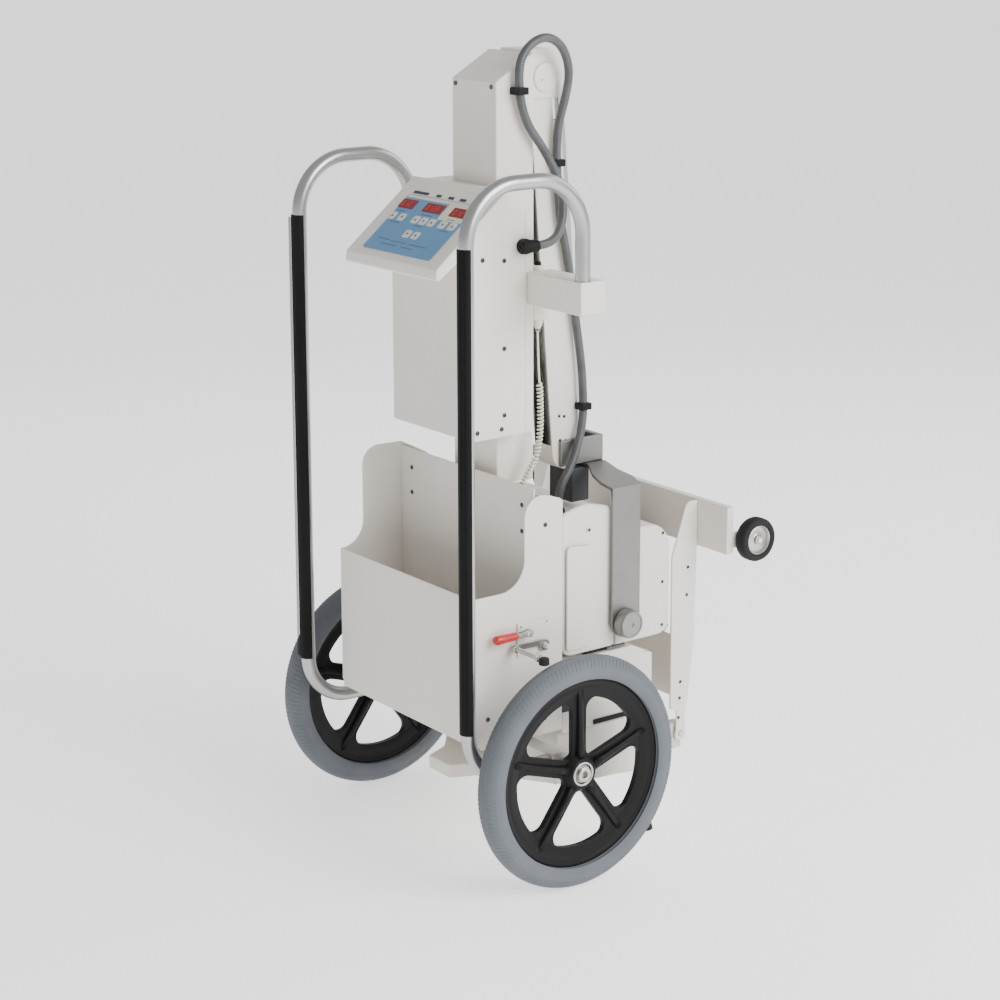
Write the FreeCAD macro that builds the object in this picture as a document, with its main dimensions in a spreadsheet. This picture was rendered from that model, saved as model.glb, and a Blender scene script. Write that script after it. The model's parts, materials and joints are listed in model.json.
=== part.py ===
import FreeCAD, Part
import math
import os

import Sketcher

# Mobile X-ray trolley with a folding arm, parked for transport.
# Frame: X to the unit's right, Y from the bin towards the folding front frame, Z up from the floor.
# All Y values below count from the main wheel axle; dims.axle_y moves them into the frame, whose
# origin is the middle of the footprint.

os.makedirs("parts", exist_ok=True)
doc = FreeCAD.newDocument("xray_trolley")

DIMENSIONS = {
    # frame
    "axle_y": -119.0,
    # main wheels
    "track_half": 295.0,
    "wheel_radius": 200.0,
    "tyre_section": 23.5,
    "rim_radius": 163.2,
    "hub_radius": 30.0,
    "axle_radius": 9.0,
    "axle_clearance": 0.4,
    "beam_half": 229.5,
    # base
    "tread_bottom": 120.0,
    "tread_top": 145.0,
    "tub_top": 222.0,
    "tub_rear": 60.0,
    "base_half": 193.0,
    "base_rear": 50.0,
    "base_front": 250.0,
    "base_top": 350.0,
    "foot_x": 182.0,
    "foot_y": 243.0,
    # bin
    "bin_half": 195.0,
    "sheet": 3.0,
    "bin_rear": -143.0,
    "bin_wall": -12.0,
    "bin_front": 47.0,
    "bin_bottom": 233.0,
    "bin_floor": 243.0,
    "rear_wall_top": 497.0,
    "bin_wall_top": 664.0,
    # column and electronics housing
    "post_half": 55.0,
    "post_rear": 15.0,
    "column_half": 62.0,
    "column_rear": 10.0,
    "column_front": 88.0,
    "column_bottom": 640.0,
    "column_eaves": 1322.0,
    "column_ridge": 1367.0,
    "housing_half": 115.0,
    "housing_rear": -81.0,
    "housing_front": 48.0,
    "housing_bottom": 737.0,
    "housing_top": 1149.0,
    "desk_half": 132.0,
    "desk_slope": 39.5,
    # push handles
    "handle_x": 242.0,
    "handle_rear": -184.5,
    "handle_lead": 49.0,
    "handle_top": 1182.0,
    "handle_low": 206.0,
    "handle_end": 957.0,
    "handle_bend": 95.0,
    "handle_low_bend": 85.0,
    "handle_tube": 12.5,
    "grip_thickness": 2.0,
    # arm
    "shoulder_y": 137.0,
    "shoulder_z": 1321.0,
    "shoulder_half": 30.0,
    "arm_half": 25.0,
    "arm_depth": 62.0,
    "arm_reach": 658.0,
    "arm_lean": 4.6,
    "bar_lead": 50.0,
    "bar_drop": 10.0,
    # tube head and its fork
    "head_half": 190.0,
    "head_bottom": 357.0,
    "head_rear": 49.0,
    "head_split": 165.0,
    "head_front": 289.0,
    "head_crown": 621.0,
    "head_deck": 560.0,
    "tilt_y": 178.0,
    "tilt_z": 400.0,
    "strap_inner": 195.4,
    "strap_thickness": 5.0,
    "knob_radius": 25.0,
    # folding front frame
    "fold_y": 315.0,
    "fold_z": 165.0,
    "leg_inner": 191.5,
    "leg_thickness": 4.0,
    "board_half": 272.0,
    "board_bottom": 505.0,
    "board_top": 590.0,
    "board_rear": 347.0,
    "board_front": 362.0,
    "caster_x": 286.0,
    "caster_y": 399.5,
    "caster_z": 529.0,
    "caster_radius": 38.5,
    "caster_width": 24.0,
    # brakes
    "lever_y": -38.0,
    "lever_z": 425.0,
    "presser_y": 2.0,
    "presser_z": 395.0,
    "brake_plane": 206.0,
    # hose
    "hose_radius": 8.0,
    "coil_radius": 6.0,
}

sheet = doc.addObject("Spreadsheet::Sheet", "dims")
for row, (name, number) in enumerate(DIMENSIONS.items(), 1):
    sheet.set(f"A{row}", name)
    sheet.set(f"B{row}", str(number))
    sheet.setAlias(f"B{row}", name)
doc.recompute()

NODES = {}


def size(name):
    return float(getattr(sheet, name))


def V(x, y, z):
    return FreeCAD.Vector(x, y, z)


# ---------------------------------------------------------------- building helpers


def add(kind, label):
    obj = doc.addObject(kind, label)
    obj.Label = label
    return obj


def node(obj):
    """Marks a piece as a sub-part with a file of its own."""
    NODES[obj.Label] = obj
    return obj


def place(obj, x, y, z, turn=None):
    """Puts a piece at x, y, z, where y counts from the wheel axle."""
    if turn:
        axis, angle = turn
        obj.Placement.Rotation = FreeCAD.Rotation(V(*axis), angle)
    obj.setExpression("Placement.Base.x", str(x))
    obj.setExpression("Placement.Base.y", f"dims.axle_y + ({y})")
    obj.setExpression("Placement.Base.z", str(z))
    return obj


def box(label, x, y, z):
    """A block between the two ends given for each axis."""
    obj = add("Part::Box", label)
    obj.setExpression("Length", f"({x[1]}) - ({x[0]})")
    obj.setExpression("Width", f"({y[1]}) - ({y[0]})")
    obj.setExpression("Height", f"({z[1]}) - ({z[0]})")
    return place(obj, x[0], y[0], z[0])


def cylinder(label, along, start, radius, length, cone=None):
    """A round bar along X, Y or Z from start; cone is its far radius."""
    obj = add("Part::Cone" if cone else "Part::Cylinder", label)
    obj.setExpression("Radius1" if cone else "Radius", str(radius))
    if cone:
        obj.setExpression("Radius2", str(cone))
    obj.setExpression("Height", str(length))
    turn = {"X": ((0, 1, 0), 90), "Y": ((1, 0, 0), -90), "Z": None}[along]
    return place(obj, *start, turn=turn)


def across(label, half, spot, radius):
    """A round bar across the unit, centred on it; spot is its Y and Z."""
    return cylinder(label, "X", (f"-({half})", round(spot[0], 4), round(spot[1], 4)), radius, f"2 * {half}")


def fuse(label, *pieces):
    obj = add("Part::MultiFuse", label)
    obj.Shapes = list(pieces)
    return obj


def group(label, *pieces):
    """Separate solids that share one node."""
    obj = add("Part::Compound", label)
    obj.Links = list(pieces)
    return obj


def cut(label, base, *tools):
    obj = add("Part::Cut", label)
    obj.Base = base
    obj.Tool = tools[0] if len(tools) == 1 else fuse(label + "_tools", *tools)
    return obj


def mirrored(label, source):
    """The left-hand twin of a right-hand piece."""
    obj = add("Part::Mirroring", label)
    obj.Source = source
    obj.Normal = V(1, 0, 0)
    obj.Base = V(0, 0, 0)
    return obj


def pair(piece):
    """A right-hand piece and its left-hand twin."""
    return [piece, mirrored(piece.Label + "_left", piece)]


PLANES = {"side": "YZ_Plane", "plan": "XY_Plane", "front": "XZ_Plane"}


def outline(body, plane, points, name):
    """A closed outline of straight sides on one of the body's origin planes."""
    sketch = body.newObject("Sketcher::SketchObject", name)
    origin = next(f for f in body.Origin.OriginFeatures if f.Role == PLANES[plane])
    sketch.AttachmentSupport = [(origin, "")]
    sketch.MapMode = "FlatFace"
    numbers = [[evaluate(c) for c in point] for point in points]
    count = len(points)
    for i, start in enumerate(numbers):
        end = numbers[(i + 1) % count]
        sketch.addGeometry(Part.LineSegment(V(*start, 0), V(*end, 0)))
    for i in range(count):
        sketch.addConstraint(Sketcher.Constraint("Coincident", i, 2, (i + 1) % count, 1))
    for i, point in enumerate(points):
        for kind, text, number in zip(("DistanceX", "DistanceY"), point, numbers[i]):
            index = sketch.addConstraint(Sketcher.Constraint(kind, -1, 1, i, 1, number))
            if isinstance(text, str):
                sketch.setExpression(f"Constraints[{index}]", text)
    return sketch, numbers


def evaluate(text):
    """The value of a number or of a sum such as 'dims.column_rear + 5'."""
    if not isinstance(text, str):
        return float(text)
    total = 0.0
    for term in text.replace("- ", "+ -").split("+ "):
        sign = -1 if term.strip().startswith("-") else 1
        term = term.strip().lstrip("-").strip()
        factor = 1.0
        for word in term.split(" * "):
            factor *= size(word[5:]) if word.startswith("dims.") else float(word)
        total += sign * factor
    return total


def edges_at(shape, plane, corners):
    """Names of the straight edges that leave the outline at these corners."""
    pick = {"side": lambda p: (p.y, p.z), "plan": lambda p: (p.x, p.y),
            "front": lambda p: (p.x, p.z)}[plane]
    names = []
    for i, edge in enumerate(shape.Edges, 1):
        ends = [pick(v.Point) for v in edge.Vertexes]
        if len(ends) == 2 and math.dist(*ends) < 1e-4:
            if any(math.dist(ends[0], corner) < 1e-3 for corner in corners):
                names.append(f"Edge{i}")
    return names


def plate(label, plane, points, span, rounds=None):
    """A PartDesign body: an outline padded over the span along the third axis.

    rounds gives a radius for corners of the outline by their index."""
    body = add("PartDesign::Body", label)
    sketch, numbers = outline(body, plane, points, label + "_outline")
    pad = body.newObject("PartDesign::Pad", label + "_pad")
    pad.Profile = sketch
    pad.setExpression("Length", f"({span[1]}) - ({span[0]})")
    sketch.Visibility = False
    by_radius = {}
    for index, radius in (rounds or {}).items():
        by_radius.setdefault(radius, []).append(numbers[index])
    last = pad
    for radius, corners in by_radius.items():
        doc.recompute()
        fillet = body.newObject("PartDesign::Fillet", f"{label}_round_{int(radius)}")
        fillet.Base = (last, edges_at(last.Shape, plane, corners))
        fillet.Radius = radius
        last = fillet
    if plane == "side":
        place(body, span[0], 0, 0)
    elif plane == "plan":
        place(body, 0, 0, span[0])
    else:
        place(body, 0, span[1], 0)
    return body


def rounded_wire(points, radius=None):
    """Straight runs joined by tangent arcs.

    Without a radius each arc is as large as its two runs allow."""
    edges = []
    start = points[0]
    radii = []
    for before, corner, after in zip(points, points[1:], points[2:]):
        to_start = (before - corner).normalize()
        to_end = (after - corner).normalize()
        turn = math.pi - to_start.getAngle(to_end)
        run = min((before - corner).Length, (after - corner).Length)
        bend = radius or 0.45 * run / math.tan(turn / 2)
        setback = bend * math.tan(turn / 2)
        first = corner + to_start * setback
        last = corner + to_end * setback
        inward = (to_start + to_end).normalize()
        centre = corner + inward * math.hypot(setback, bend)
        middle = centre - inward * bend
        edges.append(Part.LineSegment(start, first).toShape())
        edges.append(Part.Arc(first, middle, last).toShape())
        start = last
        radii.append(round(bend))
    edges.append(Part.LineSegment(start, points[-1]).toShape())
    wire = Part.Wire(edges)
    return wire, radii


def swept(label, points, radius):
    """A hose or lead swept along its route."""
    wire, _ = rounded_wire(points)
    start = points[0]
    profile = Part.Wire(Part.makeCircle(radius, start, points[1] - start))
    shape = wire.makePipeShell([profile], True, False)
    assert abs(shape.Volume / (math.pi * radius**2 * wire.Length) - 1) < 0.01, label
    obj = add("Part::Feature", label)
    obj.Shape = shape
    obj.Placement.Base = V(0, size("axle_y"), 0)
    return obj


# ---------------------------------------------------------------- main wheels

def wheel_tyre():
    torus = add("Part::Torus", "tyre_ring")
    torus.setExpression("Radius1", "dims.wheel_radius - dims.tyre_section")
    torus.setExpression("Radius2", "dims.tyre_section")
    place(torus, "dims.track_half", 0, "dims.wheel_radius", turn=((0, 1, 0), 90))
    bed = cylinder("tyre_bed", "X", ("dims.track_half - 30", 0, "dims.wheel_radius"), "dims.rim_radius", 60)
    return cut("wheel_tyre_right", torus, bed)


def wheel_rim():
    """Moulded wheel: a turned body with five windows between its spokes."""
    body = add("PartDesign::Body", "wheel_rim_right")
    half, rim = 11.0, size("rim_radius")
    inner = rim - 13.0
    section = [
        (-half, "dims.rim_radius"), (half, "dims.rim_radius"), (half, inner), (5.0, inner - 4),
        (5.0, "dims.hub_radius + 6"), (16.0, "dims.hub_radius"),
        (16.0, "dims.axle_radius + dims.axle_clearance"), (-20.0, "dims.axle_radius + dims.axle_clearance"),
        (-20.0, "dims.hub_radius"), (-5.0, "dims.hub_radius + 6"), (-5.0, inner - 4), (-half, inner),
    ]
    sketch, _ = outline(body, "plan", section, "rim_section")
    turned = body.newObject("PartDesign::Revolution", "rim_turned")
    turned.Profile = sketch
    turned.ReferenceAxis = (sketch, ["H_Axis"])
    turned.Angle = 360
    doc.recompute()
    solid_volume = turned.Shape.Volume
    window = []
    for reach, spread in ((54.0, -14.0), (54.0, 14.0), (120.0, 25.0), (141.0, 19.0), (141.0, -19.0),
                          (120.0, -25.0)):
        angle = math.radians(54.0 + spread)
        window.append((reach * math.cos(angle), reach * math.sin(angle)))
    hole, _ = outline(body, "side", window, "window_outline")
    pocket = body.newObject("PartDesign::Pocket", "window")
    pocket.Profile = hole
    pocket.Length = 40
    pocket.Midplane = True
    doc.recompute()
    assert pocket.Shape.Volume < solid_volume - 1000
    spokes = body.newObject("PartDesign::PolarPattern", "windows")
    spokes.Originals = [pocket]
    axis = next(f for f in body.Origin.OriginFeatures if f.Role == "X_Axis")
    spokes.Axis = (axis, [""])
    spokes.Angle = 360
    spokes.Occurrences = 5
    body.Tip = spokes
    return place(body, "dims.track_half", 0, "dims.wheel_radius")


for make in (wheel_tyre, wheel_rim):
    right = node(make())
    node(mirrored(right.Label.replace("_right", "_left"), right))

# ---------------------------------------------------------------- axle and base

def axle_bar(label):
    start = ("-dims.track_half - 19.5", 0, "dims.wheel_radius")
    return cylinder(label, "X", start, "dims.axle_radius", "2 * dims.track_half + 39")


def axle():
    """Through axle with a cap beyond each wheel."""
    right = cylinder("axle_cap_right", "X", ("dims.track_half + 17.5", 0, "dims.wheel_radius"), 13, 4)
    return fuse("axle", axle_bar("axle_rod"), right, mirrored("axle_cap_left", right))


def axle_beam():
    """Square beam with a block at each end that also takes the foot of a handle."""
    tube = box("beam_block", ("-dims.beam_half", "dims.beam_half"), (-15, 15), (185, 215))
    block = box("axle_block_right", ("dims.beam_half", 256), (-20, 20), (178, 222))
    return cut("axle_beam", fuse("beam_solid", tube, block, mirrored("axle_block_left", block)),
               axle_bar("beam_bore"))


def tread_plate():
    """Rear foot plate of the base, with a narrow tongue under the axle."""
    points = [(31, -72), (51, -25), (101, 18), (166, "dims.tub_rear - 0.5"), (166, "dims.tub_rear")]
    left = [(-x, y) for x, y in reversed(points)]
    return plate("tread_plate", "plan", points + left, ("dims.tread_bottom", "dims.tread_top"))


def base_tub():
    points = [(166, "dims.tub_rear"), (186, 135), ("dims.base_half", 205), (188, 285)]
    left = [("-dims.base_half" if x == "dims.base_half" else -x, y) for x, y in reversed(points)]
    body = plate("tub_body", "plan", points + left, ("dims.tread_bottom", "dims.tub_top"),
                 {3: 12.0, 4: 12.0})
    hollow = box("tub_hollow", (-160, 160), ("dims.tub_rear + 4", 278),
                 ("dims.tread_bottom + 4", "dims.tub_top"))
    leg = box("foot_leg", ("dims.foot_x - 8", "dims.foot_x + 8"),
              ("dims.foot_y - 10", "dims.foot_y + 10"), (14, "dims.tread_bottom"))
    tub = cut("tub_shell", body, hollow)
    return fuse("base_tub", tub, leg, mirrored("foot_leg_left", leg))


def foot_pads():
    right = cylinder("foot_pad_right", "Z", ("dims.foot_x", "dims.foot_y", 0), 16, 14, cone=13)
    return group("foot_pads", *pair(right))


def base_cabinet():
    """Battery cabinet under the tube head; its roof drops at the front."""
    side = [("dims.base_rear", "dims.tub_top"), ("dims.base_front", "dims.tub_top"),
            ("dims.base_front", "dims.base_top - 22"), (204, "dims.base_top"),
            ("dims.base_rear", "dims.base_top")]
    body = plate("cabinet_block", "side", side, ("-dims.base_half + 1", "dims.base_half - 1"))
    hollow = box("cabinet_hollow", ("-dims.base_half + 5", "dims.base_half - 5"),
                 ("dims.base_rear + 4", "dims.base_front - 4"), ("dims.tub_top", "dims.base_top - 26"))
    return cut("base_cabinet", body, hollow)


node(axle())
node(axle_beam())
node(tread_plate())
node(base_tub())
node(foot_pads())
node(base_cabinet())
node(box("battery_pack", (-150, 150), (80, 230), ("dims.tub_top - 60", "dims.tub_top + 60")))


# ---------------------------------------------------------------- bin

def bin_side_right():
    points = [
        (-122, "dims.bin_bottom"), ("dims.bin_front", "dims.bin_bottom"), ("dims.bin_front", 636),
        (41, 641),
        (9, 651), (-33, 652), (-33, "dims.rear_wall_top"),
        ("dims.bin_rear", "dims.rear_wall_top"), ("dims.bin_rear", 256),
    ]
    return plate("bin_side_right", "side", points, ("dims.bin_half - dims.sheet", "dims.bin_half"),
                 {5: 34.0, 6: 50.0})


def bin_side_left():
    points = [
        (-122, "dims.bin_bottom"), ("dims.bin_front", "dims.bin_bottom"), ("dims.bin_front", 640),
        (41, 645),
        (-12, 672), (-95, 673), (-95, "dims.rear_wall_top"),
        ("dims.bin_rear", "dims.rear_wall_top"), ("dims.bin_rear", 256),
    ]
    return plate("bin_side_left", "side", points, ("-dims.bin_half", "-dims.bin_half + dims.sheet"),
                 {5: 34.0, 6: 45.0})


BIN_INSIDE = ("-dims.bin_half + dims.sheet", "dims.bin_half - dims.sheet")
node(bin_side_right())
node(bin_side_left())
node(box("bin_rear_panel", BIN_INSIDE, ("dims.bin_rear", "dims.bin_rear + dims.sheet"),
         ("dims.bin_floor", "dims.rear_wall_top")))


def bin_tray():
    """One bent sheet: the bin's floor and the tall wall at its front."""
    floor = box("tray_floor", BIN_INSIDE, ("dims.bin_rear + dims.sheet", "dims.bin_wall + dims.sheet"),
                ("dims.bin_floor", "dims.bin_floor + dims.sheet"))
    wall = box("tray_wall", BIN_INSIDE, ("dims.bin_wall", "dims.bin_wall + dims.sheet"),
               ("dims.bin_floor", "dims.bin_wall_top"))
    return fuse("bin_tray", floor, wall)


node(bin_tray())


def bin_front_panel():
    """Front skin of the bin, with a lug of its own each side of the mast post."""
    skin = box("front_skin", BIN_INSIDE, ("dims.bin_front - dims.sheet", "dims.bin_front"),
               ("dims.bin_bottom", 632))
    slot = box("front_slot", ("-dims.post_half", "dims.post_half"), (30, 60), ("dims.bin_bottom", 632))
    return cut("bin_front_panel", skin, slot)


node(bin_front_panel())


def screw(label, along, start, radius=4.0):
    return cylinder(label, along, start, radius, 2)


def cover_screws():
    """Screw heads of the bin, the electronics housing and the column."""
    heads = []
    for i, (x, z) in enumerate(((160, 630), (160, 585))):
        heads += pair(screw(f"wall_screw_{i}", "Y", (x, "dims.bin_wall - 2", z)))
    for i, (y, z) in enumerate(((10, 262), (10, 600), (-110, 285))):
        heads += pair(screw(f"side_screw_{i}", "X", ("dims.bin_half", y, z)))
    for i, (y, z) in enumerate(((-58, 1040), (-14, 1035), (-14, 888), (-14, 775), (-70, 752), (-20, 752))):
        heads += pair(screw(f"housing_screw_{i}", "X", ("dims.housing_half", y, z), 3.5))
    heads += pair(screw("column_screw", "Y", (50, "dims.column_rear - 2", 1313), 3.5))
    return group("cover_screws", *heads)


node(cover_screws())

# ---------------------------------------------------------------- mast, column and electronics housing

def mast_post():
    """Steel post through the bin, with the socket block of the coiled lead on its side."""
    post = box("post_block", ("-dims.post_half", "dims.post_half"),
               ("dims.post_rear", "dims.bin_front - dims.sheet - 1"),
               ("dims.tread_top", "dims.column_bottom"))
    socket = box("socket_block", ("dims.post_half", 108), (15, 33), (436, 466))
    return fuse("mast_post", post, socket)


node(mast_post())


def column():
    points = [("dims.column_rear", "dims.column_bottom"), ("dims.column_front", "dims.column_bottom"),
              ("dims.column_front", "dims.column_ridge"), ("dims.column_rear", "dims.column_eaves")]
    body = plate("column_body", "side", points, ("-dims.column_half", "dims.column_half"))
    hollow = box("column_hollow", ("-dims.column_half + 3", "dims.column_half - 3"),
                 ("dims.column_rear + 3", "dims.column_front - 3"),
                 ("dims.column_bottom + 4", "dims.column_eaves - 8"))
    return cut("column", body, hollow)


node(column())


def housing():
    points = [("dims.housing_rear", "dims.housing_bottom"), ("dims.housing_front", "dims.housing_bottom"),
              ("dims.housing_front", "dims.housing_top"), (-18.2, "dims.housing_top"), (-7.9, 1120),
              ("dims.housing_rear", 1069.75)]
    body = plate("housing_block", "side", points, ("-dims.housing_half", "dims.housing_half"))
    slot = box("housing_slot", ("-dims.column_half", "dims.column_half"), ("dims.column_rear", 60),
               (700, 1200))
    hollow = box("housing_hollow", ("-dims.housing_half + 3", "dims.housing_half - 3"),
                 ("dims.housing_rear + 3", "dims.column_rear - 3"), ("dims.housing_bottom + 3", 1060))
    return cut("electronics_housing", body, slot, hollow)


node(housing())


def control_desk():
    points = [(-165, 1012), (-8, 1120), (-20, 1154), (-162, 1037)]
    return plate("control_desk", "side", points, ("-dims.desk_half", "dims.desk_half"),
                 {0: 5.0, 3: 6.0, 2: 4.0})


node(control_desk())

DESK_EDGE = (-162.0, 1037.0)


def on_desk(label, x, along, height):
    """A block lying on the sloped desk: x span, span up the slope from its edge, and span of height."""
    slope = math.radians(size("desk_slope"))
    obj = add("Part::Box", label)
    obj.Length = x[1] - x[0]
    obj.Width = along[1] - along[0]
    obj.Height = height[1] - height[0]
    y = DESK_EDGE[0] + along[0] * math.cos(slope) - height[0] * math.sin(slope)
    z = DESK_EDGE[1] + along[0] * math.sin(slope) + height[0] * math.cos(slope)
    return place(obj, x[0], round(y, 4), round(z, 4), turn=((1, 0, 0), size("desk_slope")))


node(on_desk("panel_membrane", (-97, 97), (14, 141), (0.0, 1.2)))

# ---------------------------------------------------------------- push handles

def handle_tube():
    x = size("handle_x")
    low, rear, lead, top = (size("handle_" + word) for word in ("low", "rear", "lead", "top"))
    lower = [V(x, -20, low), V(x, rear, low), V(x, (rear + lead) / 2, top)]
    lower[2] = V(x, rear, (low + top) / 2)
    upper = [V(x, rear, (low + top) / 2), V(x, rear, top), V(x, lead, top), V(x, lead, size("handle_end"))]
    foot, _ = rounded_wire(lower, size("handle_low_bend"))
    arch, _ = rounded_wire(upper, size("handle_bend"))
    wire = Part.Wire(foot.Edges + arch.Edges)
    profile = Part.Wire(Part.makeCircle(size("handle_tube"), lower[0], V(0, -1, 0)))
    obj = add("Part::Feature", "handle_tube_right")
    obj.Shape = wire.makePipeShell([profile], True, False)
    obj.Placement.Base = V(0, size("axle_y"), 0)
    return obj


def grip_strip():
    """Half sleeve on the rear of the handle's upright."""
    low, high = "dims.handle_low + dims.handle_low_bend", "dims.handle_top - dims.handle_bend"
    start = ("dims.handle_x", "dims.handle_rear", low)
    length = f"{high} - ({low})"
    sleeve = cylinder("strip_outer", "Z", start, "dims.handle_tube + dims.grip_thickness", length)
    sleeve.Angle = 180
    sleeve.Placement.Rotation = FreeCAD.Rotation(V(0, 0, 1), 180)
    core = cylinder("strip_core", "Z", start, "dims.handle_tube", length)
    return cut("grip_strip_right", sleeve, core)


def handle_bracket():
    block = box("bracket_block", ("dims.housing_half", 258), (33, 85), ("dims.handle_end", 1012))
    bore = cylinder("bracket_bore", "Z", ("dims.handle_x", "dims.handle_lead", "dims.handle_end"),
                    "dims.handle_tube", 60)
    return cut("handle_bracket_right", block, bore)


for name, piece in (("handle_tubes", handle_tube()), ("grip_strips", grip_strip()),
                    ("handle_brackets", handle_bracket())):
    node(group(name, *pair(piece)))

# ---------------------------------------------------------------- hand switch

SWITCH_X, SWITCH_Y, SWITCH_LOW, SWITCH_HIGH = 99.0, 68.0, 905.0, 1018.0


def hand_switch():
    body = cylinder("switch_body", "Z", (SWITCH_X, SWITCH_Y, SWITCH_LOW), 8.5, SWITCH_HIGH - SWITCH_LOW,
                    cone=13)
    well = cylinder("switch_well", "Z", (SWITCH_X, SWITCH_Y, SWITCH_HIGH - 12), 6.4, 12)
    return cut("hand_switch", body, well)


def switch_holster():
    cup = box("holster_cup", (84, 114.8), ("dims.housing_front", 86), (928, 956))
    post = cylinder("holster_bore", "Z", (SWITCH_X, SWITCH_Y, SWITCH_LOW), 8.5, SWITCH_HIGH - SWITCH_LOW,
                    cone=13)
    return cut("switch_holster", cup, post)


node(hand_switch())
node(switch_holster())
node(cylinder("exposure_button", "Z", (SWITCH_X, SWITCH_Y, SWITCH_HIGH - 6), 6, 13))

# ---------------------------------------------------------------- shoulder

LEAN = size("arm_lean")
ARM_HALF = size("arm_half")
ARM_DEEP = size("arm_depth") / 2
REACH = size("arm_reach")
# The parallel bar keeps the fork level: its pivots sit ahead of and below the arm's own pivots.
BAR_TOP = (size("shoulder_y") + size("bar_lead"), size("shoulder_z") - size("bar_drop"))
STEP = (REACH * math.sin(math.radians(LEAN)), -REACH * math.cos(math.radians(LEAN)))
ELBOW = (size("shoulder_y") + STEP[0], size("shoulder_z") + STEP[1])
BAR_LOW = (BAR_TOP[0] + STEP[0], BAR_TOP[1] + STEP[1])


def shoulder_housing():
    """Two cheeks and a rounded roof, open to the front and below for the arm."""
    outside = [("dims.column_front", 1286), (186, 1286), (186, "dims.column_ridge + 3"),
               ("dims.column_front", "dims.column_ridge + 3")]
    body = plate("shoulder_body", "side", outside, ("-dims.shoulder_half", "dims.shoulder_half"), {2: 48.0})
    slot = [("dims.column_front + 4", 1280), (190, 1280), (190, 1362), ("dims.column_front + 4", 1362)]
    hollow = plate("shoulder_slot", "side", slot, ("-dims.arm_half - 1", "dims.arm_half + 1"))
    mouth = box("shoulder_mouth", ("-dims.arm_half - 1", "dims.arm_half + 1"), (150, 200), (1280, 1400))
    shell = cut("shoulder_shell", body, hollow, mouth)
    lug = box("bar_lug", ("dims.arm_half + 1", "dims.shoulder_half"), (165, 200), (1298, 1324))
    pin = across("bar_pin", "dims.shoulder_half", BAR_TOP, 4)
    bore = across("shoulder_bore", "dims.shoulder_half + 1", (size("shoulder_y"), size("shoulder_z")), 8)
    return cut("shoulder_housing", fuse("shoulder_solid", shell, *pair(lug), pin), bore)


def shoulder_pin():
    """Pivot pin with a cover disc on each cheek."""
    disc = cylinder("shoulder_disc", "X", ("dims.shoulder_half", "dims.shoulder_y", "dims.shoulder_z"), 25,
                    4)
    rod = across("shoulder_rod", "dims.shoulder_half", (size("shoulder_y"), size("shoulder_z")), 8)
    return fuse("shoulder_pin", rod, *pair(disc))


node(shoulder_housing())
node(shoulder_pin())

# ---------------------------------------------------------------- arm

def on_arm(obj, x, ahead, down):
    """Turns a piece with the arm; ahead and down are measured from the shoulder pivot along the leaning arm."""
    lean = math.radians(LEAN)
    y = size("shoulder_y") + ahead * math.cos(lean) + down * math.sin(lean)
    z = size("shoulder_z") + ahead * math.sin(lean) - down * math.cos(lean)
    return place(obj, x, round(y, 4), round(z, 4), turn=((1, 0, 0), LEAN))


def arm_block(label, x, ahead, down):
    """A block in the arm's own directions: x span, span ahead of the pivot line, span down from the pivot."""
    obj = add("Part::Box", label)
    obj.setExpression("Length", f"({x[1]}) - ({x[0]})")
    obj.Width = ahead[1] - ahead[0]
    obj.Height = down[1] - down[0]
    return on_arm(obj, x[0], ahead[0], down[1])


def arm_disc(label, x, ahead, down, radius, length):
    obj = add("Part::Cylinder", label)
    obj.Radius = radius
    obj.Height = length
    lean = math.radians(LEAN)
    y = size("shoulder_y") + ahead * math.cos(lean) + down * math.sin(lean)
    z = size("shoulder_z") + ahead * math.sin(lean) - down * math.cos(lean)
    return place(obj, x, round(y, 4), round(z, 4), turn=((0, 1, 0), 90))


ACROSS = ("-dims.arm_half", "dims.arm_half")


def arm_beam():
    """Boxed beam with rounded ends: a tray at the rear for the liner, a slot in front for the bar."""
    shaft = arm_block("arm_shaft", ACROSS, (-ARM_DEEP, ARM_DEEP), (0, REACH))
    top = arm_disc("arm_top", -ARM_HALF, 0, 0, ARM_DEEP, 2 * ARM_HALF)
    toe = arm_disc("arm_toe", -ARM_HALF, 0, REACH, ARM_DEEP, 2 * ARM_HALF)
    hollow = arm_block("arm_hollow", (-ARM_HALF + 3, ARM_HALF - 3), (-ARM_DEEP - 5, ARM_DEEP - 4),
                       (45, REACH - 18))
    slot = arm_block("arm_slot", (-9, 9), (11, 60), (-60, REACH + 60))
    notch = arm_block("arm_notch", (-ARM_HALF - 1, ARM_HALF + 1), (16.5, 60), (24, 76))
    core = arm_block("arm_core", (-ARM_HALF + 3, ARM_HALF - 3), (-22, 9), (45, REACH - 45))
    bore = arm_disc("arm_bore", -ARM_HALF - 5, 0, 0, 8.3, 2 * ARM_HALF + 10)
    low_bore = arm_disc("arm_low_bore", -ARM_HALF - 5, 0, REACH, 6.3, 2 * ARM_HALF + 10)
    return cut("arm_beam", fuse("arm_solid", shaft, top, toe), hollow, slot, notch, core, bore, low_bore)


node(arm_beam())
node(arm_block("arm_liner", (-ARM_HALF + 3, ARM_HALF - 3), (-ARM_DEEP + 1, -ARM_DEEP + 5),
               (45, REACH - 18)))


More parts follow.
